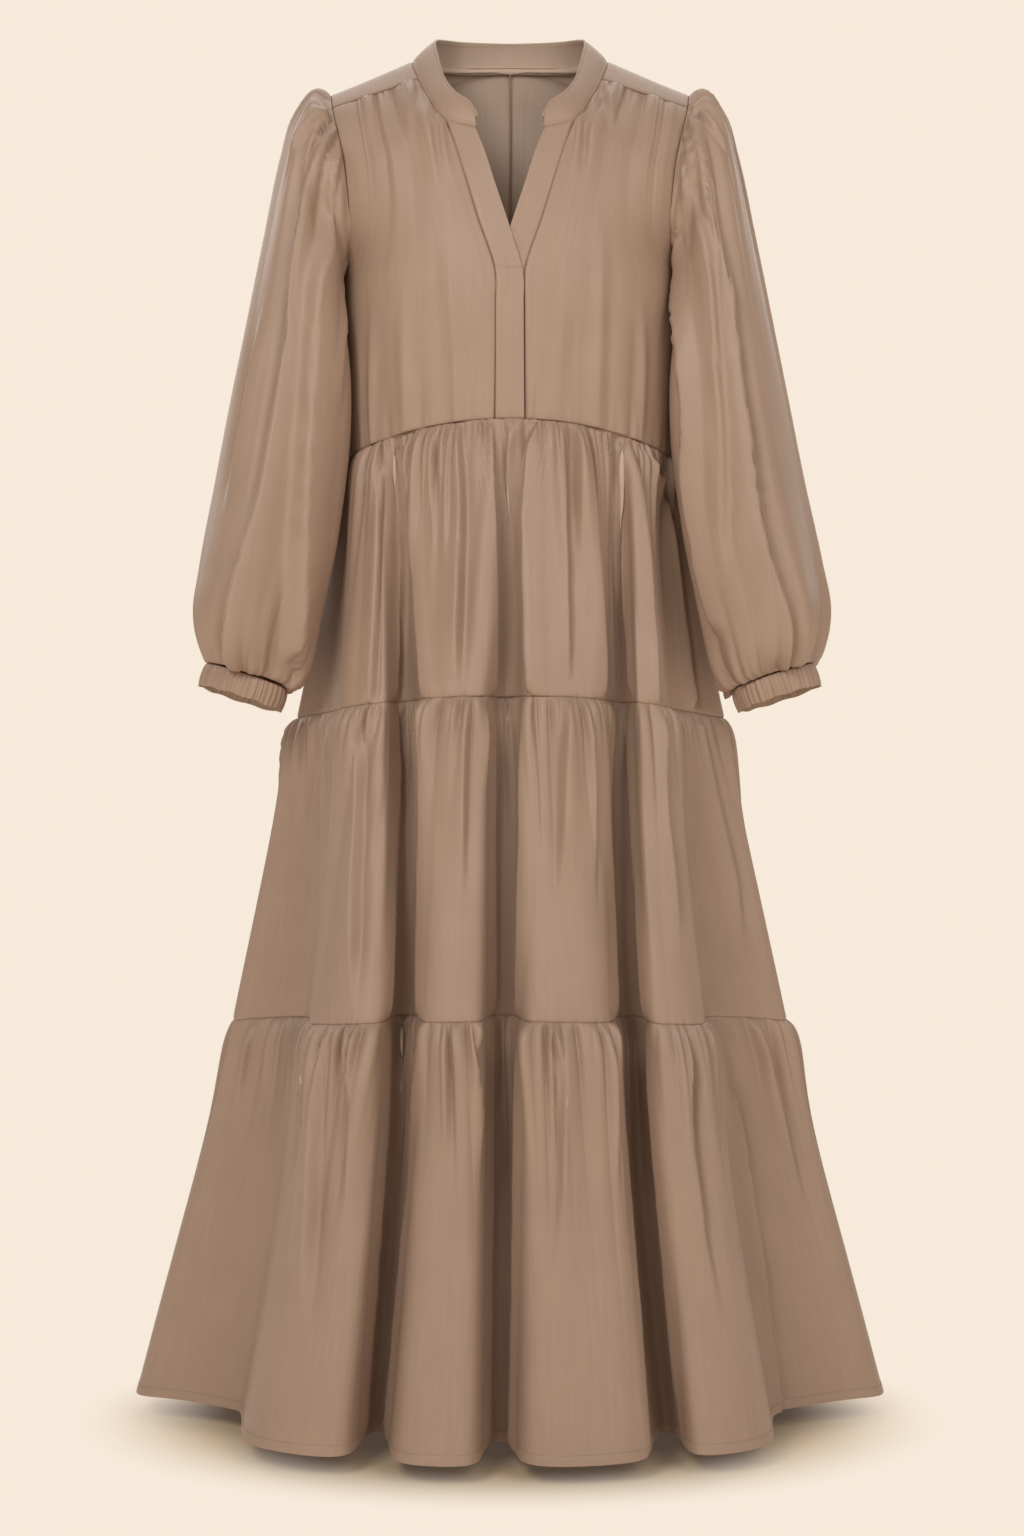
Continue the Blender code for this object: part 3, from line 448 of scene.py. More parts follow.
# Cuff mesh, the waves of its lower edge and how far they swing, and how far cuff and collar belly out
CUFF_COLUMNS = 400
CUFF_DROPS = np.array([0, 0.5, 1.2, 2.5, 4.5, 7, 9.5, 12, 14.5, 17, 19.5, 20.8, 21.6, 22]) * MM
CUFF_WAVES = 9
CUFF_WANDER = 0.0006
BELLY = 0.0012

# Collar: rows of its mesh as shares of its height, the two stitch lines, its thickness, and its
# allowance below the seam
COLLAR_ROWS = np.array([0, 0.03, 0.07, 0.095, 0.11, 0.125, 0.15, 0.28, 0.42, 0.58, 0.72, 0.85, 0.875,
                        0.89, 0.905, 0.93, 0.97, 1.0])
COLLAR_COLUMNS = 190
CORNER_COLUMNS = 16
COLLAR_STITCHES = (0.11, 0.89)
COLLAR_GROOVE = 0.014
COLLAR_GROOVE_DEPTH = 0.0005
COLLAR_THICKNESS = 0.0018
COLLAR_ALLOWANCE = 0.0035
COLLAR_TURN_IN = 0.0015

# Bands: columns as shares of the width, rows, and the step across the band at the point of the V,
# where its turned-in end is pressed flat
BAND_COLUMNS = np.array([0, 0.02, 0.05, 0.1, 0.2, 0.35, 0.5, 0.65, 0.8, 0.9, 0.95, 0.98, 1.0])
BAND_MESH_ROWS = 150
STEP_Z = -0.226
STEP_DEPTH = 0.0008
STEP_WIDTH = 0.0008
# Rows close to the step, and how soon the bent top of a band runs into it, in rows of its table
STEP_ROWS = np.linspace(-0.12, 0.06, 19)
BEND_ROWS = 0.25

# How far a seam allowance turns in, and what starts each piece's random gathers
ALLOWANCE = 0.004
SEEDS = {"bodice": {"left": 3, "right": 4}, "sleeve": {"left": 11, "right": 12},
         "cuff": {"left": 21, "right": 22}}

# Flat size of what shows of each piece, as width and length in metres, its area where the cut
# isn't a rectangle, how it is held, and what it hangs from on the same side
Flat = namedtuple("Flat", "size area held rests")

# Painted shadow round the hem: where the floor starts to glow and where it has become the surround, as
# distances from the middle of an oval round the hem, how much it glows in the middle, and the oval's scale.
# Inside the oval the floor's paint shows as a painted shadow under the dress.
PAINTED_SHADOW_FADE = (0.22, 0.36)
GLOW_IN_PAINTED_SHADOW = 0.05
PAINTED_SHADOW_OVAL = (0.82, 1.0, 1.0)
FLOOR_REACH = 14.0

# Lights: where each stands and what it points at, its width, and which power it has on the panel
Light = namedtuple("Light", "name place aim size power")
DRESS_MIDDLE = (0.0, 0.0, -0.75)
LIGHTS = (
    Light("key", (-1.3, -2.9, 1.2), DRESS_MIDDLE, 1.2, "key_power"),
    Light("fill", (1.6, -2.7, 1.0), DRESS_MIDDLE, 1.8, "fill_power"),
    Light("overhead", (0.0, 1.3, 1.4), (0.0, 0.3, -1.3), 2.0, "overhead_power"),
    Light("back_left", (-2.3, 2.3, 0.9), DRESS_MIDDLE, 1.6, "back_power"),
    Light("back_right", (2.3, 2.3, 0.9), DRESS_MIDDLE, 1.6, "back_power"),
)
# The camera stands straight before the dress and frames 1.536 m at the origin's depth
CAMERA_PLACE = (0.002, -2.6, -0.703)
FRAMED_HEIGHT = 1.536
SENSOR = 36


def linear(hex_colour):
    """Linear RGB of an sRGB hex colour."""
    parts = [int(hex_colour[i:i + 2], 16) / 255 for i in (0, 2, 4)]
    return [p / 12.92 if p <= 0.04045 else ((p + 0.055) / 1.055) ** 2.4 for p in parts]


def column(table, name):
    """One named column of a table."""
    return np.array([getattr(row, name) for row in table])


def panel_colour(name, description, hex_colour):
    """A colour on the panel."""
    return FloatVectorProperty(name=name, description=description, subtype="COLOR", size=3, min=0, max=1,
                               default=linear(hex_colour))


def panel_length(name, description, default, least, most):
    """A length on the panel, in metres."""
    return FloatProperty(name=name, description=description, unit="LENGTH", default=default, min=least,
                         max=most)


def panel_power(name, description, default):
    """The power of a light on the panel, in watts."""
    return FloatProperty(name=name, description=description, unit="POWER", default=default, min=0,
                         max=1000)


class DressCloth(bpy.types.PropertyGroup):
    """The satin crepe and how it is sewn"""

    face: panel_colour("Crepe face", "Colour of the outer side of the cloth", "a98d79")
    inside: panel_colour("Crepe inside", "Colour of the inner side of the cloth", "c8ae99")
    thread: panel_colour("Thread", "Colour of the sewing thread", "8a6f5d")
    thickness: panel_length("Thickness", "Thickness of one layer of cloth", 0.0007, 0.0003, 0.002)
    band_thickness: panel_length("Band thickness", "Thickness of the doubled cuffs and bands",
                                 0.0014, 0.0006, 0.003)
    seam_depth: panel_length("Seam depth", "How far the cloth rolls into a seam", 0.0014, 0, 0.004)
    seam_roll: panel_length("Seam roll", "How wide the roll into a seam is", 0.0013, 0.0003, 0.01)
    stitch_length: panel_length("Stitch length", "Length of one stitch", 0.0024, 0.001, 0.006)
    stitch_width: panel_length("Thread width", "Width of the sewing thread", 0.00045, 0.0002, 0.001)


class DressSkirt(bpy.types.PropertyGroup):
    """The three gathered tiers"""

    gather_spacing: panel_length("Gather spacing", "Mean distance between gathers", 0.0075, 0.004, 0.03)
    fine_height: panel_length("Fine gathers", "Height of the gathers at a seam", 0.0054, 0, 0.008)
    middle_height: panel_length("Middle gathers", "Height of the gathers that last longer", 0.0060, 0, 0.01)
    long_height: panel_length("Long folds", "Height of the folds that run far down", 0.0095, 0, 0.02)
    crease_scale: FloatProperty(name="Crease scale", description="Strength of the main creases",
                                subtype="FACTOR", default=1.25, min=0, max=3)
    hem_depth: panel_length("Hem depth", "Height of the stitched hem", 0.009, 0.004, 0.03)
    seed: IntProperty(name="Seed", description="Which set of uneven gathers is made", default=7, min=0)


class DressSleeves(bpy.types.PropertyGroup):
    """Sleeves and their elasticated cuffs"""

    gather_spacing: panel_length("Gather spacing", "Mean distance between gathers", 0.009, 0.004, 0.03)
    head_height: panel_length("Head gathers", "Height of the gathers at the head", 0.0026, 0, 0.006)
    cuff_height: panel_length("Cuff gathers", "Height of the gathers above the cuff", 0.0030, 0, 0.006)
    rib_spacing: panel_length("Shirring spacing", "Distance between the cuff's ribs", 0.0046, 0.002, 0.008)
    rib_height: panel_length("Shirring height", "Height of the cuff's ribs", 0.0014, 0, 0.003)


class DressStudio(bpy.types.PropertyGroup):
    """Floor, lights and camera"""

    backdrop: panel_colour("Backdrop", "Colour of the ground behind the dress", "f7eada")
    # Floor: the warm tan is a painted shadow, which shows round the hem under the dress
    floor: panel_colour("Floor", "Colour of the floor's paint beside the dress", "e0c49a")
    surround: panel_colour("Surround", "Colour of the soft light all round", "fff6ec")
    surround_strength: FloatProperty(name="Surround strength", description="Strength of the light all round",
                                     default=0.20, min=0, max=5)
    key_power: panel_power("Key light", "Power of the light in front, on the wearer's right", 50)
    fill_power: panel_power("Fill light", "Power of the light from the other side", 31)
    overhead_power: panel_power("Overhead light", "Power of the light above the floor", 24)
    back_power: panel_power("Back lights", "Power of each light behind the dress", 22)
    floor_drop: panel_length("Floor drop", "How far the floor lies below the hem", 0.020, 0, 0.1)


def smoothstep(share):
    """Smooth step from 0 to 1."""
    share = np.clip(share, 0, 1)
    return share * share * (3 - 2 * share)


def cubic(s, start, leave, end, arrive):
    """Cubic curve between two points with a tangent at each."""
    return ((2 * s**3 - 3 * s**2 + 1) * start + (s**3 - 2 * s**2 + s) * leave
            + (3 * s**2 - 2 * s**3) * end + (s**3 - s**2) * arrive)


def through(knots, points, places, period=None):
    """Smooth curve through points at increasing knots, read at the given places."""
    knots = np.asarray(knots, float)
    points = np.asarray(points, float)
    if period:
        knots = np.concatenate([knots[-2:] - period, knots, knots[:2] + period])
        points = np.concatenate([points[-2:], points, points[:2]])
    tangents = np.gradient(points, knots, axis=0)
    places = np.clip(np.atleast_1d(np.asarray(places, float)), knots[0], knots[-1])
    i = np.clip(np.searchsorted(knots, places, side="right") - 1, 0, len(knots) - 2)
    lie = (len(places),) + (1,) * (points.ndim - 1)
    span = (knots[i + 1] - knots[i]).reshape(lie)
    s = (places - knots[i]).reshape(lie) / span
    return cubic(s, points[i], span * tangents[i], points[i + 1], span * tangents[i + 1])


def armhole(places):
    """Points of the left armhole at places in 32nds."""
    points = np.column_stack([column(ARMHOLE, axis) for axis in "xyz"])
    return through(column(ARMHOLE, "place"), points, np.mod(places, ARMHOLE_PLACES), ARMHOLE_PLACES)


def neckline(places, edge):
    """Points of the collar's base or top edge; negative places are on the wearer's right."""
    half = [getattr(row, edge) for row in NECK]
    mirrored_half = [(-x, y, z) for x, y, z in half[:0:-1]]
    last = len(NECK) - 1
    return through(range(-last, last + 1), mirrored_half + half, places)


def neck_place(inner):
    """Place on the neckline that a bodice row's inner end names, or None if it is a free point."""
    if isinstance(inner, str):
        return NECK_PLACE[inner]
    return inner if isinstance(inner, float) else None


def normals(grid):
    """Unit normals of a grid of rows and columns, out of the cloth's face."""
    normal = np.cross(np.gradient(grid, axis=0), np.gradient(grid, axis=1))
    return normal / np.maximum(np.linalg.norm(normal, axis=2, keepdims=True), 1e-12)


def down_rows(grid):
    """Distance down the cloth from its first row, for each point."""
    steps = np.linalg.norm(np.diff(grid, axis=0), axis=2)
    return np.concatenate([np.zeros((1, grid.shape[1])), np.cumsum(steps, axis=0)])


def along_row(row):
    """Distance along one row of points from its first point."""
    return np.concatenate([[0], np.cumsum(np.linalg.norm(np.diff(row, axis=0), axis=1))])


def mirrored(grid):
    """The same grid on the wearer's right, still facing out."""
    return (grid * (-1, 1, 1))[:, ::-1]


def graded(length, near_start, near_end, count):
    """Distances from 0 to length, close together at both ends and even between them."""
    start = [d for d in near_start if d < length / 2]
    end = [length - d for d in near_end if d < length / 2]
    middle = np.linspace(start[-1], end[-1], count + 2)[1:-1]
    return np.array(sorted(start + list(middle) + end))


def bodice_surface(rows, steps, shares):
    """Left half of the front or back. Steps are places between the table's rows."""
    count = len(rows)
    knots = np.arange(count)
    places = [neck_place(row.inner) for row in rows]
    neck_rows = sum(place is not None for place in places)
    inner_rows = np.array([row.inner if place is None else neckline(place, "base")[0]
                           for row, place in zip(rows, places)])
    hole_rows = sum(isinstance(row.outer, int) for row in rows)
    outer_rows = np.array([armhole(row.outer)[0] if isinstance(row.outer, int) else row.outer
                           for row in rows])
    leave_rows = []
    arrive_rows = []
    level_rows = []
    for row, inner, outer in zip(rows, inner_rows, outer_rows):
        ease = row.turn / 90
        reach = outer - inner
        side = math.copysign(1, reach[1])
        turn = math.radians(row.turn)
        length = (1 - ease) * math.hypot(reach[0], reach[1]) + ease * QUARTER_REACH * abs(reach[1])
        leave = (reach[0] * (1 + (QUARTER_REACH - 1) * ease), 0)
        arrive = (length * math.cos(turn), side * length * math.sin(turn))
        leave_rows.append(reach[:2] if row.turn == 0 else leave)
        arrive_rows.append(reach[:2] if row.turn == 0 else arrive)
        level_rows.append(1.0 if inner[0] == 0 else ease)
    on_neck = np.interp(steps, knots[:neck_rows], places[:neck_rows])
    free = through(knots[neck_rows - 1:], inner_rows[neck_rows - 1:], steps)
    inner = np.where((steps <= neck_rows - 1)[:, None], neckline(on_neck, "base"), free)
    on_hole = np.interp(steps, knots[:hole_rows], [row.outer for row in rows[:hole_rows]])
    free = through(knots[hole_rows - 1:], outer_rows[hole_rows - 1:], steps)
    outer = np.where((steps <= hole_rows - 1)[:, None], armhole(on_hole), free)
    leave = through(knots, leave_rows, steps)[:, None]
    arrive = through(knots, arrive_rows, steps)[:, None]
    level = np.clip(through(knots, level_rows, steps), 0, 1)[:, None]
    s = np.asarray(shares)[None, :, None]
    plan = cubic(s, inner[:, None, :2], leave, outer[:, None, :2], arrive)
    x = plan[:, :, 0]
    inner_x = inner[:, None, 0]
    outer_x = outer[:, None, 0]
    straight = (x - inner_x) / (outer_x - inner_x)
    arched = (x**2 - inner_x**2) / (outer_x**2 - inner_x**2)
    drop = inner[:, None, 2] + (outer[:, None, 2] - inner[:, None, 2]) * (
        (1 - level) * straight + level * arched)
    return np.dstack([plan, drop])


def bodice_steps(rows, near_top, near_bottom):
    """Places between a bodice table's rows, graded by distance down the middle of the panel."""
    fine = np.linspace(0, len(rows) - 1, 400)
    distance = down_rows(bodice_surface(rows, fine, np.array([0.5])))[:, 0]
    return np.interp(graded(distance[-1], near_top, near_bottom, BODICE_MESH_ROWS), distance, fine)


def fold_angle(number, level):
    """Angle of a deep fold, in radians; level is 0 at the waist seam and 1 at the hem."""
    hem = column(FOLDS, "hem")[number]
    top = column(FOLDS, "top")[number]
    return np.radians(hem + (top - hem) * (1 - level)**3)


def ring_point(ring, angle):
    """Point of the plain ring at an angle."""
    depth = np.where(np.cos(angle) > 0, ring.front, ring.back)
    arch = (ring.front_z - ring.side_z) * np.maximum(0, np.cos(angle))**2
    return np.dstack([ring.half_width * np.sin(angle), -depth * np.cos(angle), ring.side_z + arch])


def lobe_shares(places):
    """The lobe that each place is in, whether it is on the opening side, and how far from its fold
    it is, from 0 at the bottom of the fold to 1 at the lobe's crest."""
    columns = column(FOLDS, "columns")
    starts = np.concatenate([[0], np.cumsum(columns)])
    places = np.mod(places, starts[-1])
    lobe = np.clip(np.searchsorted(starts, places, side="right") - 1, 0, len(FOLDS) - 1)
    rising = np.round(columns * column(FOLDS, "crest"))[lobe]
    along = places - starts[lobe]
    opens = along < rising
    share = np.where(opens, along / rising, (columns[lobe] - along) / (columns[lobe] - rising))
    return lobe, opens, share


def skirt_surface(number, drops, places):
    """A tier with its deep folds. Drops go down from its seam, places go round in columns."""
    upper = RINGS[number]
    lower = RINGS[number + 1]
    share_down = (drops / (upper.side_z - lower.side_z))[:, None]
    ring = Ring("between", *(a + (b - a) * share_down for a, b in zip(upper[1:], lower[1:])))
    level = (RINGS[0].side_z - ring.side_z) / (RINGS[0].side_z - RINGS[-1].side_z)

    lobe, opens, share = lobe_shares(places)
    fold = np.where(opens, lobe, (lobe + 1) % len(FOLDS))
    spread = np.where(opens, column(FOLDS, "after")[fold], column(FOLDS, "before")[fold])
    last = lobe == len(FOLDS) - 1

    start = fold_angle(lobe, level)
    end = fold_angle((lobe + 1) % len(FOLDS), level) + 2 * np.pi * last
    crest = start + (end - start) * column(FOLDS, "crest")[lobe] - 2 * np.pi * (last & ~opens)
    angle = fold_angle(fold, level)
    metres_per_radian = np.hypot(ring.half_width * np.cos(angle), ring.front * np.sin(angle))
    opening = 1 - np.exp(-level / FOLD_OPENING)
    gap = np.where(opens, 1.0, -1.0) * FOLD_HALF_WIDTH * opening / metres_per_radian
    sharpness = 1 + (spread - 1) * FOLD_CRISPNESS * opening
    turned = angle + gap * np.sin(np.pi * share) + (crest - angle) * share**sharpness
    depth = column(FOLDS, "depth")[fold] * level**FOLD_GROWTH * (1 + np.cos(np.pi * share)) / 2
    inward_x = -np.sin(angle) / ring.half_width
    inward_y = np.cos(angle) / np.where(np.cos(angle) > 0, ring.front, ring.back)
    inward_x, inward_y = unit(inward_x, inward_y)
    inward_x, inward_y = unit(inward_x * column(FOLDS, "lean")[fold], inward_y)
    return ring_point(ring, turned) + np.dstack([inward_x, inward_y, 0 * inward_x]) * depth[:, :, None]


def unit(x, y):
    """A flat direction at length 1."""
    size = np.hypot(x, y)
    return x / size, y / size


def plan_normals(grid):
    """Outward normals of closed rings, seen from above."""
    along = np.roll(grid, -1, axis=1) - np.roll(grid, 1, axis=1)
    normal = np.dstack([along[:, :, 1], -along[:, :, 0], np.zeros(grid.shape[:2])])
    return normal / np.linalg.norm(normal, axis=2, keepdims=True)


def uneven_knots(girth, spacing, random):
    """Edges of uneven gathers over a length."""
    widths = 1 + WIDTH_SPREAD * (2 * random.rand(max(2, round(girth / spacing))) - 1)
    return np.concatenate([[0], np.cumsum(widths)]) / widths.sum() * girth


def coarser(knots, random):
    """Every second or third edge, so that gathers run together into wider ones."""
    kept = [0]
    while kept[-1] < len(knots) - 1:
        kept.append(min(len(knots) - 1, kept[-1] + random.randint(2, 4)))
    return knots[kept]


def gathers(knots, along, drop, height, reach, crisp, random):
    """Heights of one set of gathers that die out down the cloth, each its own way. Crisp 0 gives
    round tubes with sharp valleys between them, and 1 flat faces that meet in a ridge."""
    count = len(knots) - 1
    heights = height * (HEIGHT_RANGE[0] + HEIGHT_RANGE[1] * random.rand(count))
    reaches = reach * (REACH_RANGE[0] + REACH_RANGE[1] * random.rand(count)**REACH_POWER)
    crests = 0.5 + CREST_SPREAD * (2 * random.rand(count) - 1)
    i = np.clip(np.searchsorted(knots, along, side="right") - 1, 0, count - 1)
    share = np.clip((along - knots[i]) / (knots[i + 1] - knots[i]), 0, 1)
    crest = crests[i]
    side = np.where(share < crest, (crest - share) / crest, (share - crest) / (1 - crest))
    tube = np.cos(side * np.pi / 2)**TUBE_POWER
    ridge = np.clip(1 + ROUND_CREST - np.sqrt(side**2 + ROUND_CREST**2), 0, 1)**RIDGE_POWER
    fade = np.exp(-(drop / reaches[i])**FADE_POWER)
    profile = (1 - crisp) * tube + crisp * ridge
    return heights[i] * profile * fade - SINK * height * np.exp(-(drop / reach)**FADE_POWER)


def gather_sets(along, drop, girth, spacing, sets, random, share_of_last=1):
    """Fine gathers that run together into wider ones, set by set."""
    knots = uneven_knots(girth, spacing, random)
    total = 0
    for number, (height, reach, crisp) in enumerate(sets):
        made = gathers(knots, along, drop, height, reach, crisp, random)
        total = total + made * (share_of_last if number == len(sets) - 1 else 1)
        knots = coarser(knots, random)
    return total


def crease_heights(grid, normal, crease, facing):
    """Heights that one main crease adds. Facing is -1 for a crease seen from the front, 1 from the
    back."""
    line = np.array(crease.line) * MM
    line = through(np.linspace(0, 1, len(line)), line, np.linspace(0, 1, CREASE_POINTS))
    points = grid.reshape(-1, 3)
    seen = points[normal.reshape(-1, 3)[:, 1] * facing > LEAST_FACING]
    gaps = (seen[None, :, 0] - line[:, None, 0])**2 + (seen[None, :, 2] - line[:, None, 1])**2
    depth = seen[np.argmin(gaps, axis=1), 1]
    padded = np.pad(depth, CREASE_SMOOTHING // 2, mode="edge")
    depth = np.convolve(padded, np.ones(CREASE_SMOOTHING) / CREASE_SMOOTHING, "valid")
    on_cloth = np.column_stack([line[:, 0], depth, line[:, 1]])
    gaps = ((points**2).sum(1)[:, None] + (on_cloth**2).sum(1)[None]) - 2 * points @ on_cloth.T
    nearest = np.argmin(gaps, axis=1)
    distance = np.sqrt(np.maximum(gaps[np.arange(len(points)), nearest], 0))
    share = nearest / (len(line) - 1)
    way = np.gradient(on_cloth, axis=0)[nearest]
    off = points - on_cloth[nearest]
    side = way[:, 0] * off[:, 2] - way[:, 2] * off[:, 0]
    near = np.where(side > 0, crease.after, crease.before)
    steep = near <= min(crease.before, crease.after)
    near = near * np.where(steep, STEEPNESS, 1)
    offset = (np.sqrt(distance**2 + CREST_RADIUS**2) - CREST_RADIUS) / (near * MM)
    dip = steep * UNDERCUT * (offset * np.exp(1 - offset))**2
    profile = np.clip(1 - offset, 0, 1)**RIDGE_POWER - dip
    rise = crease.start + (1 - crease.start) * smoothstep(share / CREASE_RISE)
    if crease.hold < 1:
        rise = rise * (1 - smoothstep((share - crease.hold) / (1 - crease.hold)))
    return (crease.height * MM * rise * profile).reshape(grid.shape[:2])


def main_creases(piece, grid, normal):
    """Heights of all the main creases of a piece."""
    total = np.zeros(grid.shape[:2])
    for name, creases in CREASES.items():
        if name.split()[0] == piece:
            facing = 1 if "back" in name else -1
            for crease in creases:
                total += crease_heights(grid, normal, crease, facing)
    return total


def seam_roll(distance, cloth):
    """How far the cloth rolls in at a seam."""
    return -cloth.seam_depth * np.exp(-distance / cloth.seam_roll)


def away(distance, reach):
    """Share that grows from 0 at a seam to 1 well away from it."""
    return 1 - np.exp(-distance / reach)


def add_node(tree, kind, inputs=None, **settings):
    """Add a node with its settings; inputs are values, or other nodes' outputs to link."""
    made = tree.nodes.new(kind)
    for name, value in settings.items():
        setattr(made, name, value)
    for name, value in (inputs or {}).items():
        if isinstance(value, bpy.types.NodeSocket):
            tree.links.new(value, made.inputs[name])
        else:
            made.inputs[name].default_value = value
    return made


def new_material(name):
    """A new material with its node tree and shader."""
    material = bpy.data.materials.new(name)
    material.use_nodes = True
    return material, material.node_tree, material.node_tree.nodes["Principled BSDF"]


def noise(tree, place, scale, detail):
    """A noise pattern over the given places."""
    return add_node(tree, "ShaderNodeTexNoise", {"Vector": place, "Scale": scale, "Detail": detail})


def mottle(tree, shader, tint, pattern, spread, **span):
    """Colour the shader with a tint that a pattern makes a little lighter and darker."""
    shade = add_node(tree, "ShaderNodeMapRange", {"Value": pattern, "To Min": 1 - spread,
                                                  "To Max": 1 + spread, **span})
    made = add_node(tree, "ShaderNodeMix", {"Factor": 1.0, "A": (*tint, 1.0), "B": shade.outputs["Result"]},
                    data_type="RGBA", blend_type="MULTIPLY")
    tree.links.new(made.outputs["Result"], shader.inputs["Base Color"])


def satin_crepe(name, tint, roughness):
    """Woven polyester satin crepe: twisted threads give a matte, finely pebbled face with a soft
    glow along folds. Its 0.3 mm grain is too fine to show, so it is drawn at about 1 mm."""
    material, tree, shader = new_material(name)
    place = add_node(tree, "ShaderNodeUVMap", uv_map="cut").outputs["UV"]
    grain_place = add_node(tree, "ShaderNodeMapping", {"Vector": place, "Scale": (1, 0.45, 1)})
    grain = noise(tree, grain_place.outputs["Vector"], 1 / (1.0 * MM), 2.0)
    streak_place = add_node(tree, "ShaderNodeMapping", {"Vector": place, "Scale": (1, 0.06, 1)})
    streak = noise(tree, streak_place.outputs["Vector"], 1 / (4 * MM), 3.0)
    cloud = noise(tree, place, 1 / (70 * MM), 2.0)
    both = add_node(tree, "ShaderNodeMath", {0: streak.outputs["Fac"], 1: cloud.outputs["Fac"]},
                    operation="ADD")
    mottle(tree, shader, tint, both.outputs["Value"], 0.06, **{"From Min": 0.6, "From Max": 1.4})
    bump = add_node(tree, "ShaderNodeBump", {"Height": grain.outputs["Fac"], "Strength": 0.35,
                                             "Distance": 0.12 * MM})
    tree.links.new(bump.outputs["Normal"], shader.inputs["Normal"])
    shader.inputs["Roughness"].default_value = roughness
    shader.inputs["IOR"].default_value = 1.45
    shader.inputs["Sheen Weight"].default_value = 0.05
    shader.inputs["Sheen Roughness"].default_value = 0.45
    shader.inputs["Sheen Tint"].default_value = (1.0, 0.93, 0.86, 1.0)
    return material


def sewing_thread(tint):
    """Spun polyester thread: matte, a shade darker than the cloth."""
    material, tree, shader = new_material("spun_thread")
    place = add_node(tree, "ShaderNodeTexCoord").outputs["Object"]
    mottle(tree, shader, tint, noise(tree, place, 1 / (0.8 * MM), 1.0).outputs["Fac"], 0.15)
    shader.inputs["Roughness"].default_value = 0.75
    return material


def mixed_shaders(tree, share, first, second, output):
    """Mix two shaders into the tree's output."""
    both = add_node(tree, "ShaderNodeMixShader", {0: share, 1: first, 2: second})
    tree.links.new(both.outputs["Shader"], tree.nodes[output].inputs["Surface"])


def studio_floor(tint, glow_tint):
    """Matte studio floor paint with a barely visible tooth. Near the hem the paint is a warm tan and hardly
    glows: a painted shadow under the dress. Away from the dress it glows in the colour of the surround,
    which gives a seamless ground with no horizon from any side."""
    material, tree, shader = new_material("matte_painted_floor")
    place = add_node(tree, "ShaderNodeTexCoord").outputs["Object"]
    # The floor's paint, seen near the hem, is a painted shadow under the dress
    mottle(tree, shader, tint, noise(tree, place, 3.0, 2.0).outputs["Fac"], 0.015)
    shader.inputs["Roughness"].default_value = 0.9
    shader.inputs["Specular IOR Level"].default_value = 0.2
    glow = add_node(tree, "ShaderNodeEmission", {"Color": (*glow_tint, 1.0), "Strength": 1.0})
    # An oval round the hem, inside which the floor hardly glows, so that its paint shows as a painted shadow
    shadow_oval = add_node(tree, "ShaderNodeVectorMath", {0: place, 1: PAINTED_SHADOW_OVAL}, operation="MULTIPLY")
    middle = add_node(tree, "ShaderNodeVectorMath", {0: shadow_oval.outputs["Vector"]}, operation="LENGTH")
    fade = add_node(tree, "ShaderNodeMapRange",
                    {"Value": middle.outputs["Value"], "From Min": PAINTED_SHADOW_FADE[0],
                     "From Max": PAINTED_SHADOW_FADE[1], "To Min": GLOW_IN_PAINTED_SHADOW}, interpolation_type="SMOOTHSTEP")
    mixed_shaders(tree, fade.outputs["Result"], shader.outputs["BSDF"], glow.outputs["Emission"],
                  "Material Output")
    return material


def surround_world(studio):
    """The air round the dress: the camera sees the backdrop's colour, and the dress a softer light."""
    world = bpy.data.worlds.new("studio")
    world.use_nodes = True
    tree = world.node_tree
    soft = tree.nodes["Background"]
    soft.inputs["Color"].default_value = (*studio.surround, 1.0)
    soft.inputs["Strength"].default_value = studio.surround_strength
    shown = add_node(tree, "ShaderNodeBackground", {"Color": (*studio.backdrop, 1.0), "Strength": 1.0})
    ray = add_node(tree, "ShaderNodeLightPath")
    mixed_shaders(tree, ray.outputs["Is Camera Ray"], soft.outputs["Background"],
                  shown.outputs["Background"], "World Output")
    return world


def crepe_pair(cloth):
    """The two sides of the crepe, made once."""
    return [bpy.data.materials.get(name) or satin_crepe(name, tint, roughness)
            for name, tint, roughness in (("satin_crepe_face", cloth.face, 0.5),
                                          ("satin_crepe_inside", cloth.inside, 0.6))]


def with_allowances(grid, normal, edges):
    """The grid with a seam allowance turned in at the named edges."""
    inward = -normal * ALLOWANCE
    for edge, axis in (("top", 0), ("bottom", 0), ("left", 1), ("right", 1)):
        if edge not in edges:
            continue
        first = edge in ("top", "left")
        here = [slice(None)] * 2
        here[axis] = slice(0, 1) if first else slice(-1, None)
        strip = grid[tuple(here)] + inward[tuple(here)]
        turn = inward[tuple(here)]
        grid = np.concatenate([strip, grid] if first else [grid, strip], axis=axis)
        inward = np.concatenate([turn, inward] if first else [inward, turn], axis=axis)
    return grid


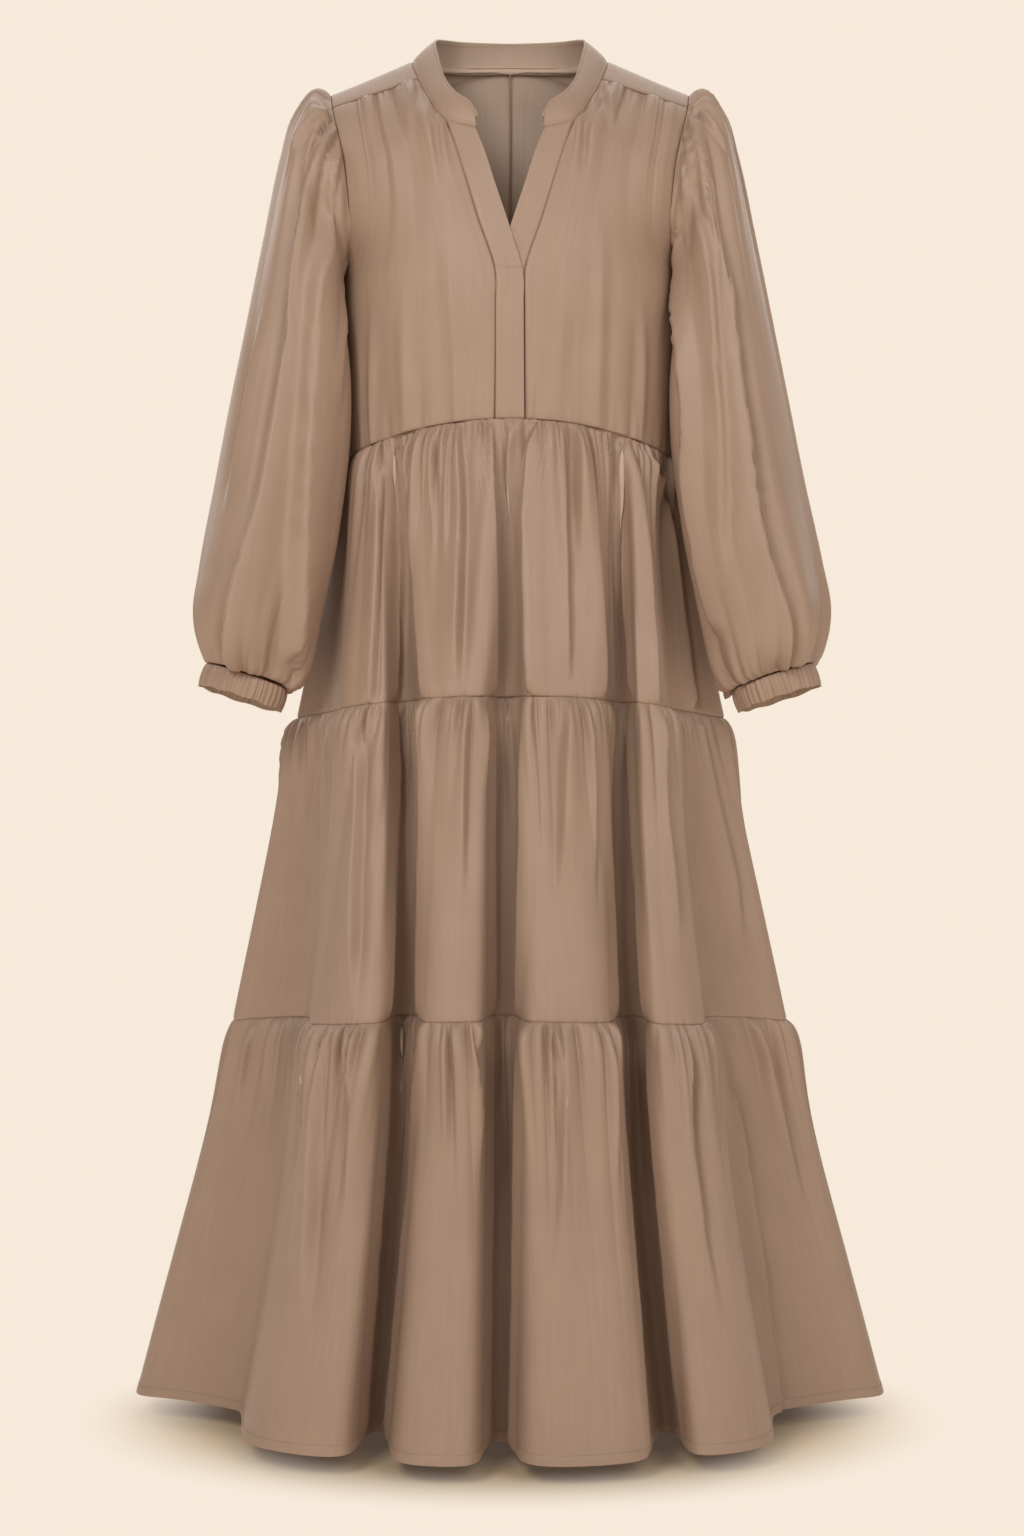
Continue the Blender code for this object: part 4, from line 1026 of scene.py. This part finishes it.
def cloth_mesh(name, grid, closed):
    """Mesh of a grid of points, with its place on the cut cloth as a UV map in metres."""
    rows, columns = grid.shape[:2]
    numbers = np.arange(rows * columns).reshape(rows, columns)
    after = np.roll(numbers, -1, axis=1) if closed else numbers[:, 1:]
    here = numbers if closed else numbers[:, :-1]
    faces = np.stack([here[:-1], here[1:], after[1:], after[:-1]], axis=-1).reshape(-1, 4)
    mesh = bpy.data.meshes.new(name)
    mesh.from_pydata(grid.reshape(-1, 3).tolist(), [], faces.tolist())
    across = along_row(grid[rows // 2])
    down = down_rows(grid)[:, columns // 2]
    place = np.dstack(np.broadcast_arrays(across[None, :], down[:, None])).reshape(-1, 2)
    corners = np.zeros(len(mesh.loops), np.int32)
    mesh.loops.foreach_get("vertex_index", corners)
    cut = mesh.uv_layers.new(name="cut")
    cut.uv.foreach_set("vector", place[corners].astype(np.float32).ravel())
    mesh.shade_smooth()
    return mesh


def shown_object(name, mesh):
    """An object that rides on the dress."""
    piece = bpy.data.objects.new(name, mesh)
    bpy.context.scene.collection.objects.link(piece)
    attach(piece, "root")
    return piece


def cloth_piece(node, grid, cloth, closed=False, thickness=None):
    """One cut piece as a thin shell, in place of its solid."""
    piece = shown_object(node + "_cloth", cloth_mesh(node + "_cloth", grid, closed))
    for material in crepe_pair(cloth):
        piece.data.materials.append(material)
    shell = piece.modifiers.new("cloth", "SOLIDIFY")
    shell.thickness = thickness or cloth.thickness
    shell.offset = -1
    shell.use_quality_normals = True
    shell.material_offset = 1
    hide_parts(node)
    return piece


def stitch_bar(bars, start, end, up, half):
    """One stitch: a small bar with rounded ends, half sunk in the cloth."""
    way = (end - start) / np.linalg.norm(end - start)
    up = up - way * (up @ way)
    up = up / np.linalg.norm(up)
    side = np.cross(up, way)
    rings = [[bars.verts.new(place + side * half * wide * s + up * half * lift * h)
              for s, h in ((-1, -1), (-0.6, 1), (0.6, 1), (1, -1))]
             for place, lift, wide in ((start, 0.1, 0.4), (start + way * half, 0.8, 1.0),
                                       (end - way * half, 0.8, 1.0), (end, 0.1, 0.4))]
    for first, second in zip(rings, rings[1:]):
        for k in range(3):
            bars.faces.new((first[k], second[k], second[k + 1], first[k + 1]))
    bars.faces.new(rings[0])
    bars.faces.new(rings[-1][::-1])


def stitch_row(name, points, normal, cloth):
    """Stitches along a run of points."""
    bars = bmesh.new()
    distance = along_row(points)
    count = int(distance[-1] / (cloth.stitch_length * STITCH_PITCH))

    def read(values, place):
        return np.array([np.interp(place, distance, values[:, k]) for k in range(3)])

    for place in (np.arange(count) + 0.5) * distance[-1] / count:
        stitch_bar(bars, read(points, place - cloth.stitch_length / 2),
                   read(points, place + cloth.stitch_length / 2), read(normal, place),
                   cloth.stitch_width / 2)
    mesh = bpy.data.meshes.new(name)
    bars.to_mesh(mesh)
    bars.free()
    mesh.shade_smooth()
    mesh.materials.append(bpy.data.materials.get("spun_thread") or sewing_thread(cloth.thread))
    return shown_object(name, mesh)


def skirt_columns():
    """Places of the mesh columns round the skirt, even along a blend of the seam and the hem."""
    fine = np.linspace(RIGHT_SIDE_SEAM, RIGHT_SIDE_SEAM + sum(f.columns for f in FOLDS), 4001)
    seam = along_row(skirt_surface(0, np.array([0.0]), fine)[0])
    hem = along_row(skirt_surface(2, np.array([COLUMN_DROP]), fine)[0])
    shows = smoothstep((lobe_shares(fine[1:])[2] - SHOWS_FROM) / SHOWS_FADE)
    steps = np.diff(0.5 * seam / seam[-1] + 0.5 * hem / hem[-1])
    steps = steps * (HIDDEN_SHARE + (1 - HIDDEN_SHARE) * shows)
    blend = np.concatenate([[0], np.cumsum(steps)]) / steps.sum()
    side = np.interp(LEFT_SIDE_SEAM, fine, blend)
    front = np.interp(np.linspace(0, side, FRONT_COLUMNS + 1), blend, fine)
    back = np.interp(np.linspace(side, 1, BACK_COLUMNS + 1), blend, fine)
    return np.concatenate([front, back[1:-1]])


def hanging_places(grid, share_down, upper, lower):
    """Where each point hangs from along the plain seam, the seam's girth, and how far the cloth
    faces out there: 1 on the lobes' faces and 0 on the walls of the deep folds."""
    half_width, front, back = (a + (b - a) * share_down for a, b in zip(upper[1:4], lower[1:4]))
    x = grid[:, :, 0] / half_width
    depth = np.where(grid[:, :, 1] < 0, front, back)
    y = grid[:, :, 1] / depth
    fine = np.linspace(-np.pi, np.pi, 721)
    seam = along_row(ring_point(upper, fine)[0])
    out = np.dstack([x / half_width, y / depth, 0 * x])
    out = out / np.maximum(np.linalg.norm(out, axis=2, keepdims=True), 1e-9)
    facing = smoothstep((plan_normals(grid) * out).sum(2))
    return np.interp(np.arctan2(x, -y), fine, seam), seam[-1], facing


def tier_surface(number, places, skirt, cloth):
    """A whole tier, all round: its points, how far out the gathers move them, and the rows' drops."""
    upper = RINGS[number]
    lower = RINGS[number + 1]
    tall = upper.side_z - lower.side_z
    is_hem = lower.name == "hem"
    drops = graded(tall, NEAR_SEAM, NEAR_EDGE if is_hem else NEAR_SEAM[:10], TIER_ROWS[number])
    grid = skirt_surface(number, drops, places)
    drop = drops[:, None]
    to_edge = tall - drop
    random = np.random.RandomState(skirt.seed + number)
    along, girth, facing = hanging_places(grid, drop / tall, upper, lower)
    turns = 2 * np.pi * along / girth
    along = along + drop * sum(slope * np.sin(waves * turns + shift * number)
                               for slope, waves, shift in DRIFT)
    along = np.mod(along, girth)
    wide = 1 + WIDER * number
    sets = (Gathers(skirt.fine_height * wide**FINE_GROWTH, FINE_REACH * wide, 0.0),
            Gathers(skirt.middle_height * wide**MIDDLE_GROWTH, MIDDLE_REACH * wide, 0.4),
            Gathers(skirt.long_height, LONG_REACH, 1.0))
    in_front = np.where(np.arange(grid.shape[1]) <= FRONT_COLUMNS, LONG_IN_FRONT, 1.0)
    folds = gather_sets(along, drop, girth, skirt.gather_spacing * wide, sets, random, in_front)
    rise = LEAST_RISE + (1 - LEAST_RISE) * away(drop, RISE_LENGTH)
    puff = PUFF * drop / PUFF_LENGTH * np.exp(1 - drop / PUFF_LENGTH)
    beside = smoothstep((np.abs(grid[:, :, 0]) / upper.half_width - SIDE_FROM) / SIDE_FADE)
    beside = beside * np.exp(-drop / SIDE_REACH)
    outward = seam_roll(drop, cloth) + (folds * rise + puff) * facing * (1 - FLAT_AT_SIDE * beside)
    if is_hem:
        in_hem = 1 - smoothstep((to_edge - skirt.hem_depth + HEM_EDGE_INSET) / HEM_EDGE)
        stitch_line = np.exp(-((to_edge - skirt.hem_depth + STITCH_INSET) / STITCH_GROOVE)**2)
        outward = outward + HEM_ROLL * in_hem - STITCH_DEPTH * stitch_line
    else:
        outward = outward + seam_roll(to_edge, cloth)
    return grid, outward, drops


class DRESS_OT_skirt(bpy.types.Operator):
    """Build the three gathered tiers"""

    bl_idname = "dress.skirt"
    bl_label = "Skirt tiers"

    def execute(self, context):
        cloth = context.scene.dress_cloth
        skirt = context.scene.dress_skirt
        places = skirt_columns()
        surfaces = [tier_surface(number, places, skirt, cloth) for number in range(3)]
        for number, (grid, outward, drops) in enumerate(surfaces):
            to_edge = drops[-1] - drops
            is_hem = number == len(surfaces) - 1
            near_seam = np.exp(-drops / CREASE_FADE)
            if not is_hem:
                near_seam = near_seam + np.exp(-to_edge / CREASE_FADE)
                below = surfaces[number + 1][1][0]
                outward = outward + (below - below.mean()) * np.exp(-to_edge / FOLLOW_LENGTH)[:, None]
            normal = plan_normals(grid)
            count = grid.shape[1]
            for face, columns in (("front", np.arange(0, FRONT_COLUMNS + 1)),
                                  ("back", np.arange(FRONT_COLUMNS, count + 1) % count)):
                node = f"tier_{number + 1}_{face}"
                base = grid[:, columns]
                facing = normal[:, columns]
                creases = main_creases(node, base, facing) * (1 - near_seam)[:, None]
                made = base + facing * (outward[:, columns] + skirt.crease_scale * creases)[:, :, None]
                turned = with_allowances(made, facing, ("top",) if is_hem else ("top", "bottom"))
                piece = cloth_piece(node, turned, cloth)
                if is_hem:
                    row = np.argmin(np.abs(to_edge - skirt.hem_depth + STITCH_INSET))
                    stitches = stitch_row(f"hem_stitches_{face}", made[row], normals(made)[row], cloth)
                    stitches.parent = piece
        return {"FINISHED"}


class DRESS_OT_bodice(bpy.types.Operator):
    """Build the gathered fronts and the backs"""

    bl_idname = "dress.bodice"
    bl_label = "Bodice"

    def execute(self, context):
        cloth = context.scene.dress_cloth
        front = bodice_surface(FRONT_ROWS, bodice_steps(FRONT_ROWS, NEAR_SEAM, NEAR_SEAM[:9]),
                               np.linspace(0, 1, FRONT_PANEL_COLUMNS))
        back = bodice_surface(BACK_ROWS, bodice_steps(BACK_ROWS, NEAR_SEAM[:8], NEAR_SEAM[:9]),
                              np.linspace(0, 1, BACK_PANEL_COLUMNS))[:, ::-1]
        for side, seed in SEEDS["bodice"].items():
            random = np.random.RandomState(seed)
            drop = down_rows(front)
            inner = along_row(front[0])
            zone = smoothstep(inner / ZONE_START) * (1 - smoothstep((inner - ZONE_END) / ZONE_FADE))
            folds = gather_sets(inner, drop, inner[-1], SHOULDER_SPACING, SHOULDER_GATHERS, random)
            rise = SHOULDER_LEAST + (1 - SHOULDER_LEAST) * away(drop, SHOULDER_RISE)
            lift = folds * zone * rise + waist_roll(front, cloth, random)
            lift = lift + TUCK * seam_roll(drop / TUCK, cloth) + edge_rolls(front, cloth, *FRONT_ROLLS)
            bodice_panel("bodice_front", side, front, lift, cloth)
            lift = waist_roll(back, cloth, random) + BACK_TOP_ROLL * seam_roll(down_rows(back), cloth)
            bodice_panel("bodice_back", side, back, lift + edge_rolls(back, cloth, *BACK_ROLLS), cloth)
        return {"FINISHED"}


def waist_roll(grid, cloth, random):
    """Puckers above the waist seam, and the roll into it."""
    to_waist = down_rows(grid)
    to_waist = to_waist[-1:] - to_waist
    low = along_row(grid[-1])
    return (gather_sets(low, to_waist, low[-1], PUCKER_SPACING, WAIST_PUCKERS, random)
            + seam_roll(to_waist, cloth))


def bodice_panel(kind, side, grid, lift, cloth):
    """One panel on one side of the body."""
    node = f"{kind}_{side}"
    if side == "right":
        grid = mirrored(grid)
        lift = lift[:, ::-1]
    normal = normals(grid)
    lift = lift + main_creases(node, grid, normal) * away(down_rows(grid), CREASE_FADE)
    turned = with_allowances(grid + normal * lift[:, :, None], normal, ("top", "bottom", "left", "right"))
    cloth_piece(node, turned, cloth)


def edge_rolls(grid, cloth, first, last):
    """Roll into the seams at both sides of a panel, as shares of the whole roll."""
    across = down_rows(grid.swapaxes(0, 1)).T
    return first * seam_roll(across, cloth) + last * seam_roll(across[:, -1:] - across, cloth)


def flank(y, z):
    """Half-width of the dress beside the sleeve."""
    half_width, front, back = (np.interp(z, column(FLANKS, "z"), column(FLANKS, name))
                               for name in ("half_width", "front", "back"))
    return half_width * np.sqrt(np.clip(1 - (y / np.where(y < 0, front, back))**2, 0, 1))


def clear_of_body(grid, sign):
    """The sleeve's points, moved out to where they hang clear of the dress beside them."""
    moved = grid.copy()
    beside = flank(grid[:, :, 1], grid[:, :, 2]) + SLEEVE_CLEAR
    low = smoothstep((FLANKS[-1].z + CLEAR_FROM - grid[:, :, 2]) / CLEAR_FADE)
    moved[:, :, 0] += sign * np.maximum(0, beside - sign * grid[:, :, 0]) * low
    return moved


def section_ring(row, turn, size=1):
    """Ring of a sleeve section; size makes it wider or narrower at each angle."""
    out = np.array([row.out_x, row.mid_y, row.out_z])
    inside = np.array([row.in_x, row.mid_y, row.in_z])
    forward = np.array([0, -math.cos(CUFF_TILT), math.sin(CUFF_TILT)]) * row.half_depth
    return ((out + inside) / 2 + np.outer(np.cos(turn) * size, (out - inside) / 2)
            + np.outer(np.sin(turn) * size, forward))


def sleeve_surface(turn, count):
    """Left sleeve from the armhole to the cuff seam."""
    rings = [armhole(turn / (2 * np.pi) * ARMHOLE_PLACES)]
    for number, row in enumerate(SECTIONS):
        share = number / (len(SECTIONS) - 1)
        swell = math.sin(math.pi * share) * SLEEVE_FOLD_HEIGHT
        size = 1 + swell * np.cos(SLEEVE_FOLD_COUNT * turn + SLEEVE_FOLD_TWIST * share) / row.half_depth
        rings.append(section_ring(row, turn, size))
    rings = np.array(rings)
    knots = np.concatenate([[0], np.cumsum(np.linalg.norm(np.diff(rings, axis=0), axis=2).mean(1))])
    return through(knots, rings, graded(knots[-1], NEAR_SEAM, NEAR_SEAM, count))


def ring_normals(grid):
    """Unit normals of a tube of rows and closed columns."""
    around = np.roll(grid, -1, axis=1) - np.roll(grid, 1, axis=1)
    normal = np.cross(np.gradient(grid, axis=0), around)
    return normal / np.maximum(np.linalg.norm(normal, axis=2, keepdims=True), 1e-12)


def edge_gathers(grid, row, drop, tall, spacing, sets, random):
    """Gathers at an end row of a tube; drop is the distance from it."""
    edge = along_row(np.concatenate([grid[row], grid[row, :1]]))
    sets = [Gathers(tall * each.height, each.reach, each.crisp) for each in sets]
    return gather_sets(edge[:-1], drop, edge[-1], spacing, sets, random)


class DRESS_OT_sleeves(bpy.types.Operator):
    """Build both sleeves, gathered at the head and into the cuff"""

    bl_idname = "dress.sleeves"
    bl_label = "Sleeves"

    def execute(self, context):
        cloth = context.scene.dress_cloth
        sleeves = context.scene.dress_sleeves
        turn = np.arange(SLEEVE_COLUMNS) / SLEEVE_COLUMNS * 2 * np.pi
        base = sleeve_surface(turn, SLEEVE_ROWS)[:, ::-1]
        turn = turn[::-1]
        lean = np.clip(-np.cos(turn), 0, 1) * np.clip(np.sin(turn), 0, 1) * 2
        beside_body = (smoothstep((BESIDE_TOP - base[:, :, 2]) / BESIDE_TOP_FADE)
                       * smoothstep((base[:, :, 2] - BESIDE_BOTTOM) / BESIDE_BOTTOM_FADE))
        base[:, :, 0] -= INNER_LEAN * lean * beside_body
        base = clear_of_body(base, 1)
        drop = down_rows(base)
        zone = smoothstep((np.cos(turn) - HEAD_FROM) / HEAD_FADE)
        for side, seed in SEEDS["sleeve"].items():
            grid, down, head = base, drop, zone
            if side == "right":
                grid, down, head = mirrored(base), drop[:, ::-1], zone[::-1]
            up = down[-1:] - down
            random = np.random.RandomState(seed)
            normal = ring_normals(grid)
            folds = edge_gathers(grid, 0, down, sleeves.head_height, sleeves.gather_spacing,
                                 HEAD_GATHERS, random)
            lift = folds * head * away(down, HEAD_RISE)
            folds = edge_gathers(grid, -1, up, sleeves.cuff_height, CUFF_SPACING, CUFF_GATHERS, random)
            lift = lift + folds * (1 - CUFF_PRESS * np.exp(-up / CUFF_RISE))
            lift = lift + HEAD_ROLL * seam_roll(down, cloth) + seam_roll(up, cloth)
            lift = lift + main_creases("sleeve_" + side, grid, normal) * away(down, CREASE_FADE)
            made = clear_of_body(grid + normal * lift[:, :, None], 1 if side == "left" else -1)
            cloth_piece("sleeve_" + side, with_allowances(made, normal, ("top", "bottom")),
                        cloth, closed=True)
        return {"FINISHED"}


def along_wave(along, girth, count, random):
    """Phase of an uneven wave round a closed edge."""
    return 2 * np.pi * count * along / girth + 2 * np.sin(2 * np.pi * along / girth + random.rand() * 6)


class DRESS_OT_cuffs(bpy.types.Operator):
    """Build the elasticated cuffs"""

    bl_idname = "dress.cuffs"
    bl_label = "Cuffs"

    def execute(self, context):
        cloth = context.scene.dress_cloth
        sleeves = context.scene.dress_sleeves
        down = np.array([math.sin(CUFF_LEAN), 0, -math.cos(CUFF_LEAN)])
        turn = -np.arange(CUFF_COLUMNS) / CUFF_COLUMNS * 2 * np.pi
        grid = section_ring(SECTIONS[-1], turn)[None] + down * CUFF_DROPS[:, None, None]
        normal = ring_normals(grid)
        around = along_row(np.concatenate([grid[0], grid[0, :1]]))
        drop = CUFF_DROPS[:, None]
        for side, seed in SEEDS["cuff"].items():
            random = np.random.RandomState(seed)
            knots = uneven_knots(around[-1], sleeves.rib_spacing, random)
            ribs = gathers(knots, around[:-1], drop, sleeves.rib_height, 1.0, 0.0, random)
            wave = np.sin(along_wave(around[:-1], around[-1], CUFF_WAVES, random))
            lift = ribs + BELLY * np.sin(np.pi * drop / CUFF_HEIGHT) + seam_roll(drop, cloth)
            made = grid + normal * lift[:, :, None]
            made = made + down * (CUFF_WANDER * wave * (drop / CUFF_HEIGHT))[:, :, None]
            facing = normal
            if side == "right":
                made, facing = mirrored(made), mirrored(normal)
            cloth_piece("cuff_" + side, with_allowances(made, facing, ("top",)),
                        cloth, closed=True, thickness=cloth.band_thickness)
        return {"FINISHED"}


def collar_surface(cloth):
    """The stand collar from its top edge down, with its stitch lines and its allowance."""
    last = len(NECK) - 1
    ends = last - COLLAR_CORNER * (1 - np.cos(np.linspace(0, np.pi / 2, CORNER_COLUMNS)[1:]))
    places = np.concatenate([[last], ends, np.linspace(ends[-1], -ends[-1], COLLAR_COLUMNS)[1:-1],
                             -ends[::-1], [-last]])
    base = neckline(places, "base")
    from_end = np.clip((last - np.abs(places)) / COLLAR_CORNER, 0, 1)
    corner = COLLAR_END_HEIGHT + (1 - COLLAR_END_HEIGHT) * np.sqrt(1 - (1 - from_end)**2)
    rise = (neckline(places, "top") - base) * corner[:, None]
    grid = base[None] + rise[None] * (1 - COLLAR_ROWS)[:, None, None]
    normal = normals(grid)
    stitched = sum(np.exp(-((COLLAR_ROWS - line) / COLLAR_GROOVE)**2) for line in COLLAR_STITCHES)
    lift = BELLY * np.sin(np.pi * COLLAR_ROWS)[:, None] * corner[None]
    drop = down_rows(grid)
    lift = lift - COLLAR_GROOVE_DEPTH * stitched[:, None] + seam_roll(drop[-1:] - drop, cloth)
    grid = grid + normal * lift[:, :, None]
    down = -rise / np.linalg.norm(rise, axis=1, keepdims=True)
    return np.concatenate([grid, grid[-1:] + down * COLLAR_ALLOWANCE - normal[-1:] * COLLAR_TURN_IN])


def band_surface(over):
    """A front band from its free fold to its seam, on the wearer's left side."""
    rows = {row.name: row for row in FRONT_ROWS}
    count = len(BAND_ROWS)
    seam = [neckline(NECK_PLACE[row.seam], "base")[0] if row.seam in NECK_PLACE else rows[row.seam].inner
            for row in BAND_ROWS]
    fold = column(BAND_ROWS, "fold")
    at_step = np.interp(-STEP_Z, -fold[:, 2], range(count))
    fine = at_step + STEP_ROWS
    places = np.sort(np.concatenate([np.linspace(0, count - 1, BAND_MESH_ROWS), fine]))
    seam = through(range(count), seam, places)
    fold = through(range(count), fold, places)
    share = BAND_COLUMNS[None, :, None]
    grid = fold[:, None] * (1 - share) + seam[:, None] * share
    ends = [NECK_PLACE["front end"], NECK_PLACE["band seam"]]
    top = neckline(np.interp(BAND_COLUMNS, [0, 1], ends), "base")
    grid = grid + (top - grid[0])[None] * np.exp(-places / BEND_ROWS)[:, None, None]
    lift = BAND_LIFT * np.clip((places - LIFT_STARTS) / (LIFT_IS_FULL - LIFT_STARTS), 0, 1)
    grid[:, :, 1] += (-lift if over else lift)[:, None]
    return grid


class DRESS_OT_collar_and_bands(bpy.types.Operator):
    """Build the stand collar and the two front bands"""

    bl_idname = "dress.collar_and_bands"
    bl_label = "Collar and bands"

    def execute(self, context):
        cloth = context.scene.dress_cloth
        cloth_piece("collar_stand", collar_surface(cloth), cloth,
                    thickness=COLLAR_THICKNESS)
        for node, over in (("placket_over", True), ("placket_under", False)):
            grid = mirrored(band_surface(over)) if over else band_surface(over)
            normal = normals(grid)
            drop = down_rows(grid)
            seam_side = np.linalg.norm(grid - grid[:, [0 if over else -1]], axis=2)
            lift = (seam_roll(drop, cloth) + seam_roll(drop[-1:] - drop, cloth)
                    + seam_roll(seam_side, cloth))
            if over:
                lift = lift - STEP_DEPTH * np.exp(-((grid[:, :, 2] - STEP_Z) / STEP_WIDTH)**2)
            turned = with_allowances(grid + normal * lift[:, :, None], normal,
                                     ("top", "bottom", "left" if over else "right"))
            cloth_piece(node, turned, cloth,
                        thickness=cloth.band_thickness)
        return {"FINISHED"}


def placed(name, data, place, angles=(0, 0, 0)):
    """A new object in the scene, at a place and turned by angles."""
    made = bpy.data.objects.new(name, data)
    made.location = place
    made.rotation_euler = angles
    bpy.context.scene.collection.objects.link(made)
    return made


def vector_angles(aim):
    """Angles that turn a light's own direction towards aim."""
    x, y, z = aim
    return (math.atan2(math.hypot(x, y), -z), 0, math.atan2(-x, y))


class DRESS_OT_studio(bpy.types.Operator):
    """Set up the floor, the lights and the camera"""

    bl_idname = "dress.studio"
    bl_label = "Studio"

    def execute(self, context):
        scene = context.scene
        studio = scene.dress_studio
        shape = bmesh.new()
        corners = ((-1, -1), (1, -1), (1, 1), (-1, 1))
        shape.faces.new([shape.verts.new((x * FLOOR_REACH, y * FLOOR_REACH, 0)) for x, y in corners])
        mesh = bpy.data.meshes.new("studio_floor")
        shape.to_mesh(mesh)
        shape.free()
        # The floor's colour shows round the hem as a painted shadow; away from it the floor glows
        mesh.materials.append(studio_floor(studio.floor, studio.backdrop))
        floor = placed("studio_floor", mesh, (0, 0, RINGS[-1].front_z - studio.floor_drop))
        scene.world = surround_world(studio)
        for light in LIGHTS:
            lamp = bpy.data.lights.new(light.name, "AREA")
            lamp.energy = getattr(studio, light.power)
            lamp.shape = "SQUARE"
            lamp.size = light.size
            placed(light.name, lamp, light.place, vector_angles(np.array(light.aim) - np.array(light.place)))
        eye = bpy.data.cameras.new("camera")
        eye.sensor_fit = "VERTICAL"
        eye.sensor_width = SENSOR
        eye.sensor_height = SENSOR
        eye.lens = SENSOR * -CAMERA_PLACE[1] / FRAMED_HEIGHT
        scene.camera = placed("camera", eye, CAMERA_PLACE, (math.radians(90), 0, 0))
        scene.view_settings.view_transform = "Standard"
        return {"FINISHED"}


class DRESS_PT_panel(bpy.types.Panel):
    """The steps that build the dress"""

    bl_label = "Tiered maxi dress"
    bl_idname = "DRESS_PT_panel"
    bl_space_type = "VIEW_3D"
    bl_region_type = "UI"
    bl_category = "Dress"

    def draw(self, context):
        for step in STEPS:
            self.layout.operator(step.bl_idname)
        for group in GROUPS:
            box = self.layout.box()
            settings = getattr(context.scene, group)
            for name in settings.bl_rna.properties.keys():
                if name not in ("name", "rna_type"):
                    box.prop(settings, name)


GROUPS = {"dress_cloth": DressCloth, "dress_skirt": DressSkirt, "dress_sleeves": DressSleeves,
          "dress_studio": DressStudio}
STEPS = (DRESS_OT_bodice, DRESS_OT_collar_and_bands, DRESS_OT_sleeves, DRESS_OT_cuffs, DRESS_OT_skirt,
         DRESS_OT_studio)


def register():
    """Register the classes and attach the property groups to the scene."""
    for kind in (*GROUPS.values(), *STEPS, DRESS_PT_panel):
        bpy.utils.register_class(kind)
    for name, kind in GROUPS.items():
        setattr(bpy.types.Scene, name, PointerProperty(type=kind))


def unregister():
    """Undo register."""
    for name in GROUPS:
        delattr(bpy.types.Scene, name)
    for kind in reversed((*GROUPS.values(), *STEPS, DRESS_PT_panel)):
        bpy.utils.unregister_class(kind)


def main():
    """Build everything."""
    register()
    bpy.ops.dress.bodice()
    bpy.ops.dress.collar_and_bands()
    bpy.ops.dress.sleeves()
    bpy.ops.dress.cuffs()
    bpy.ops.dress.skirt()
    bpy.ops.dress.studio()


if __name__ == "__main__":
    main()
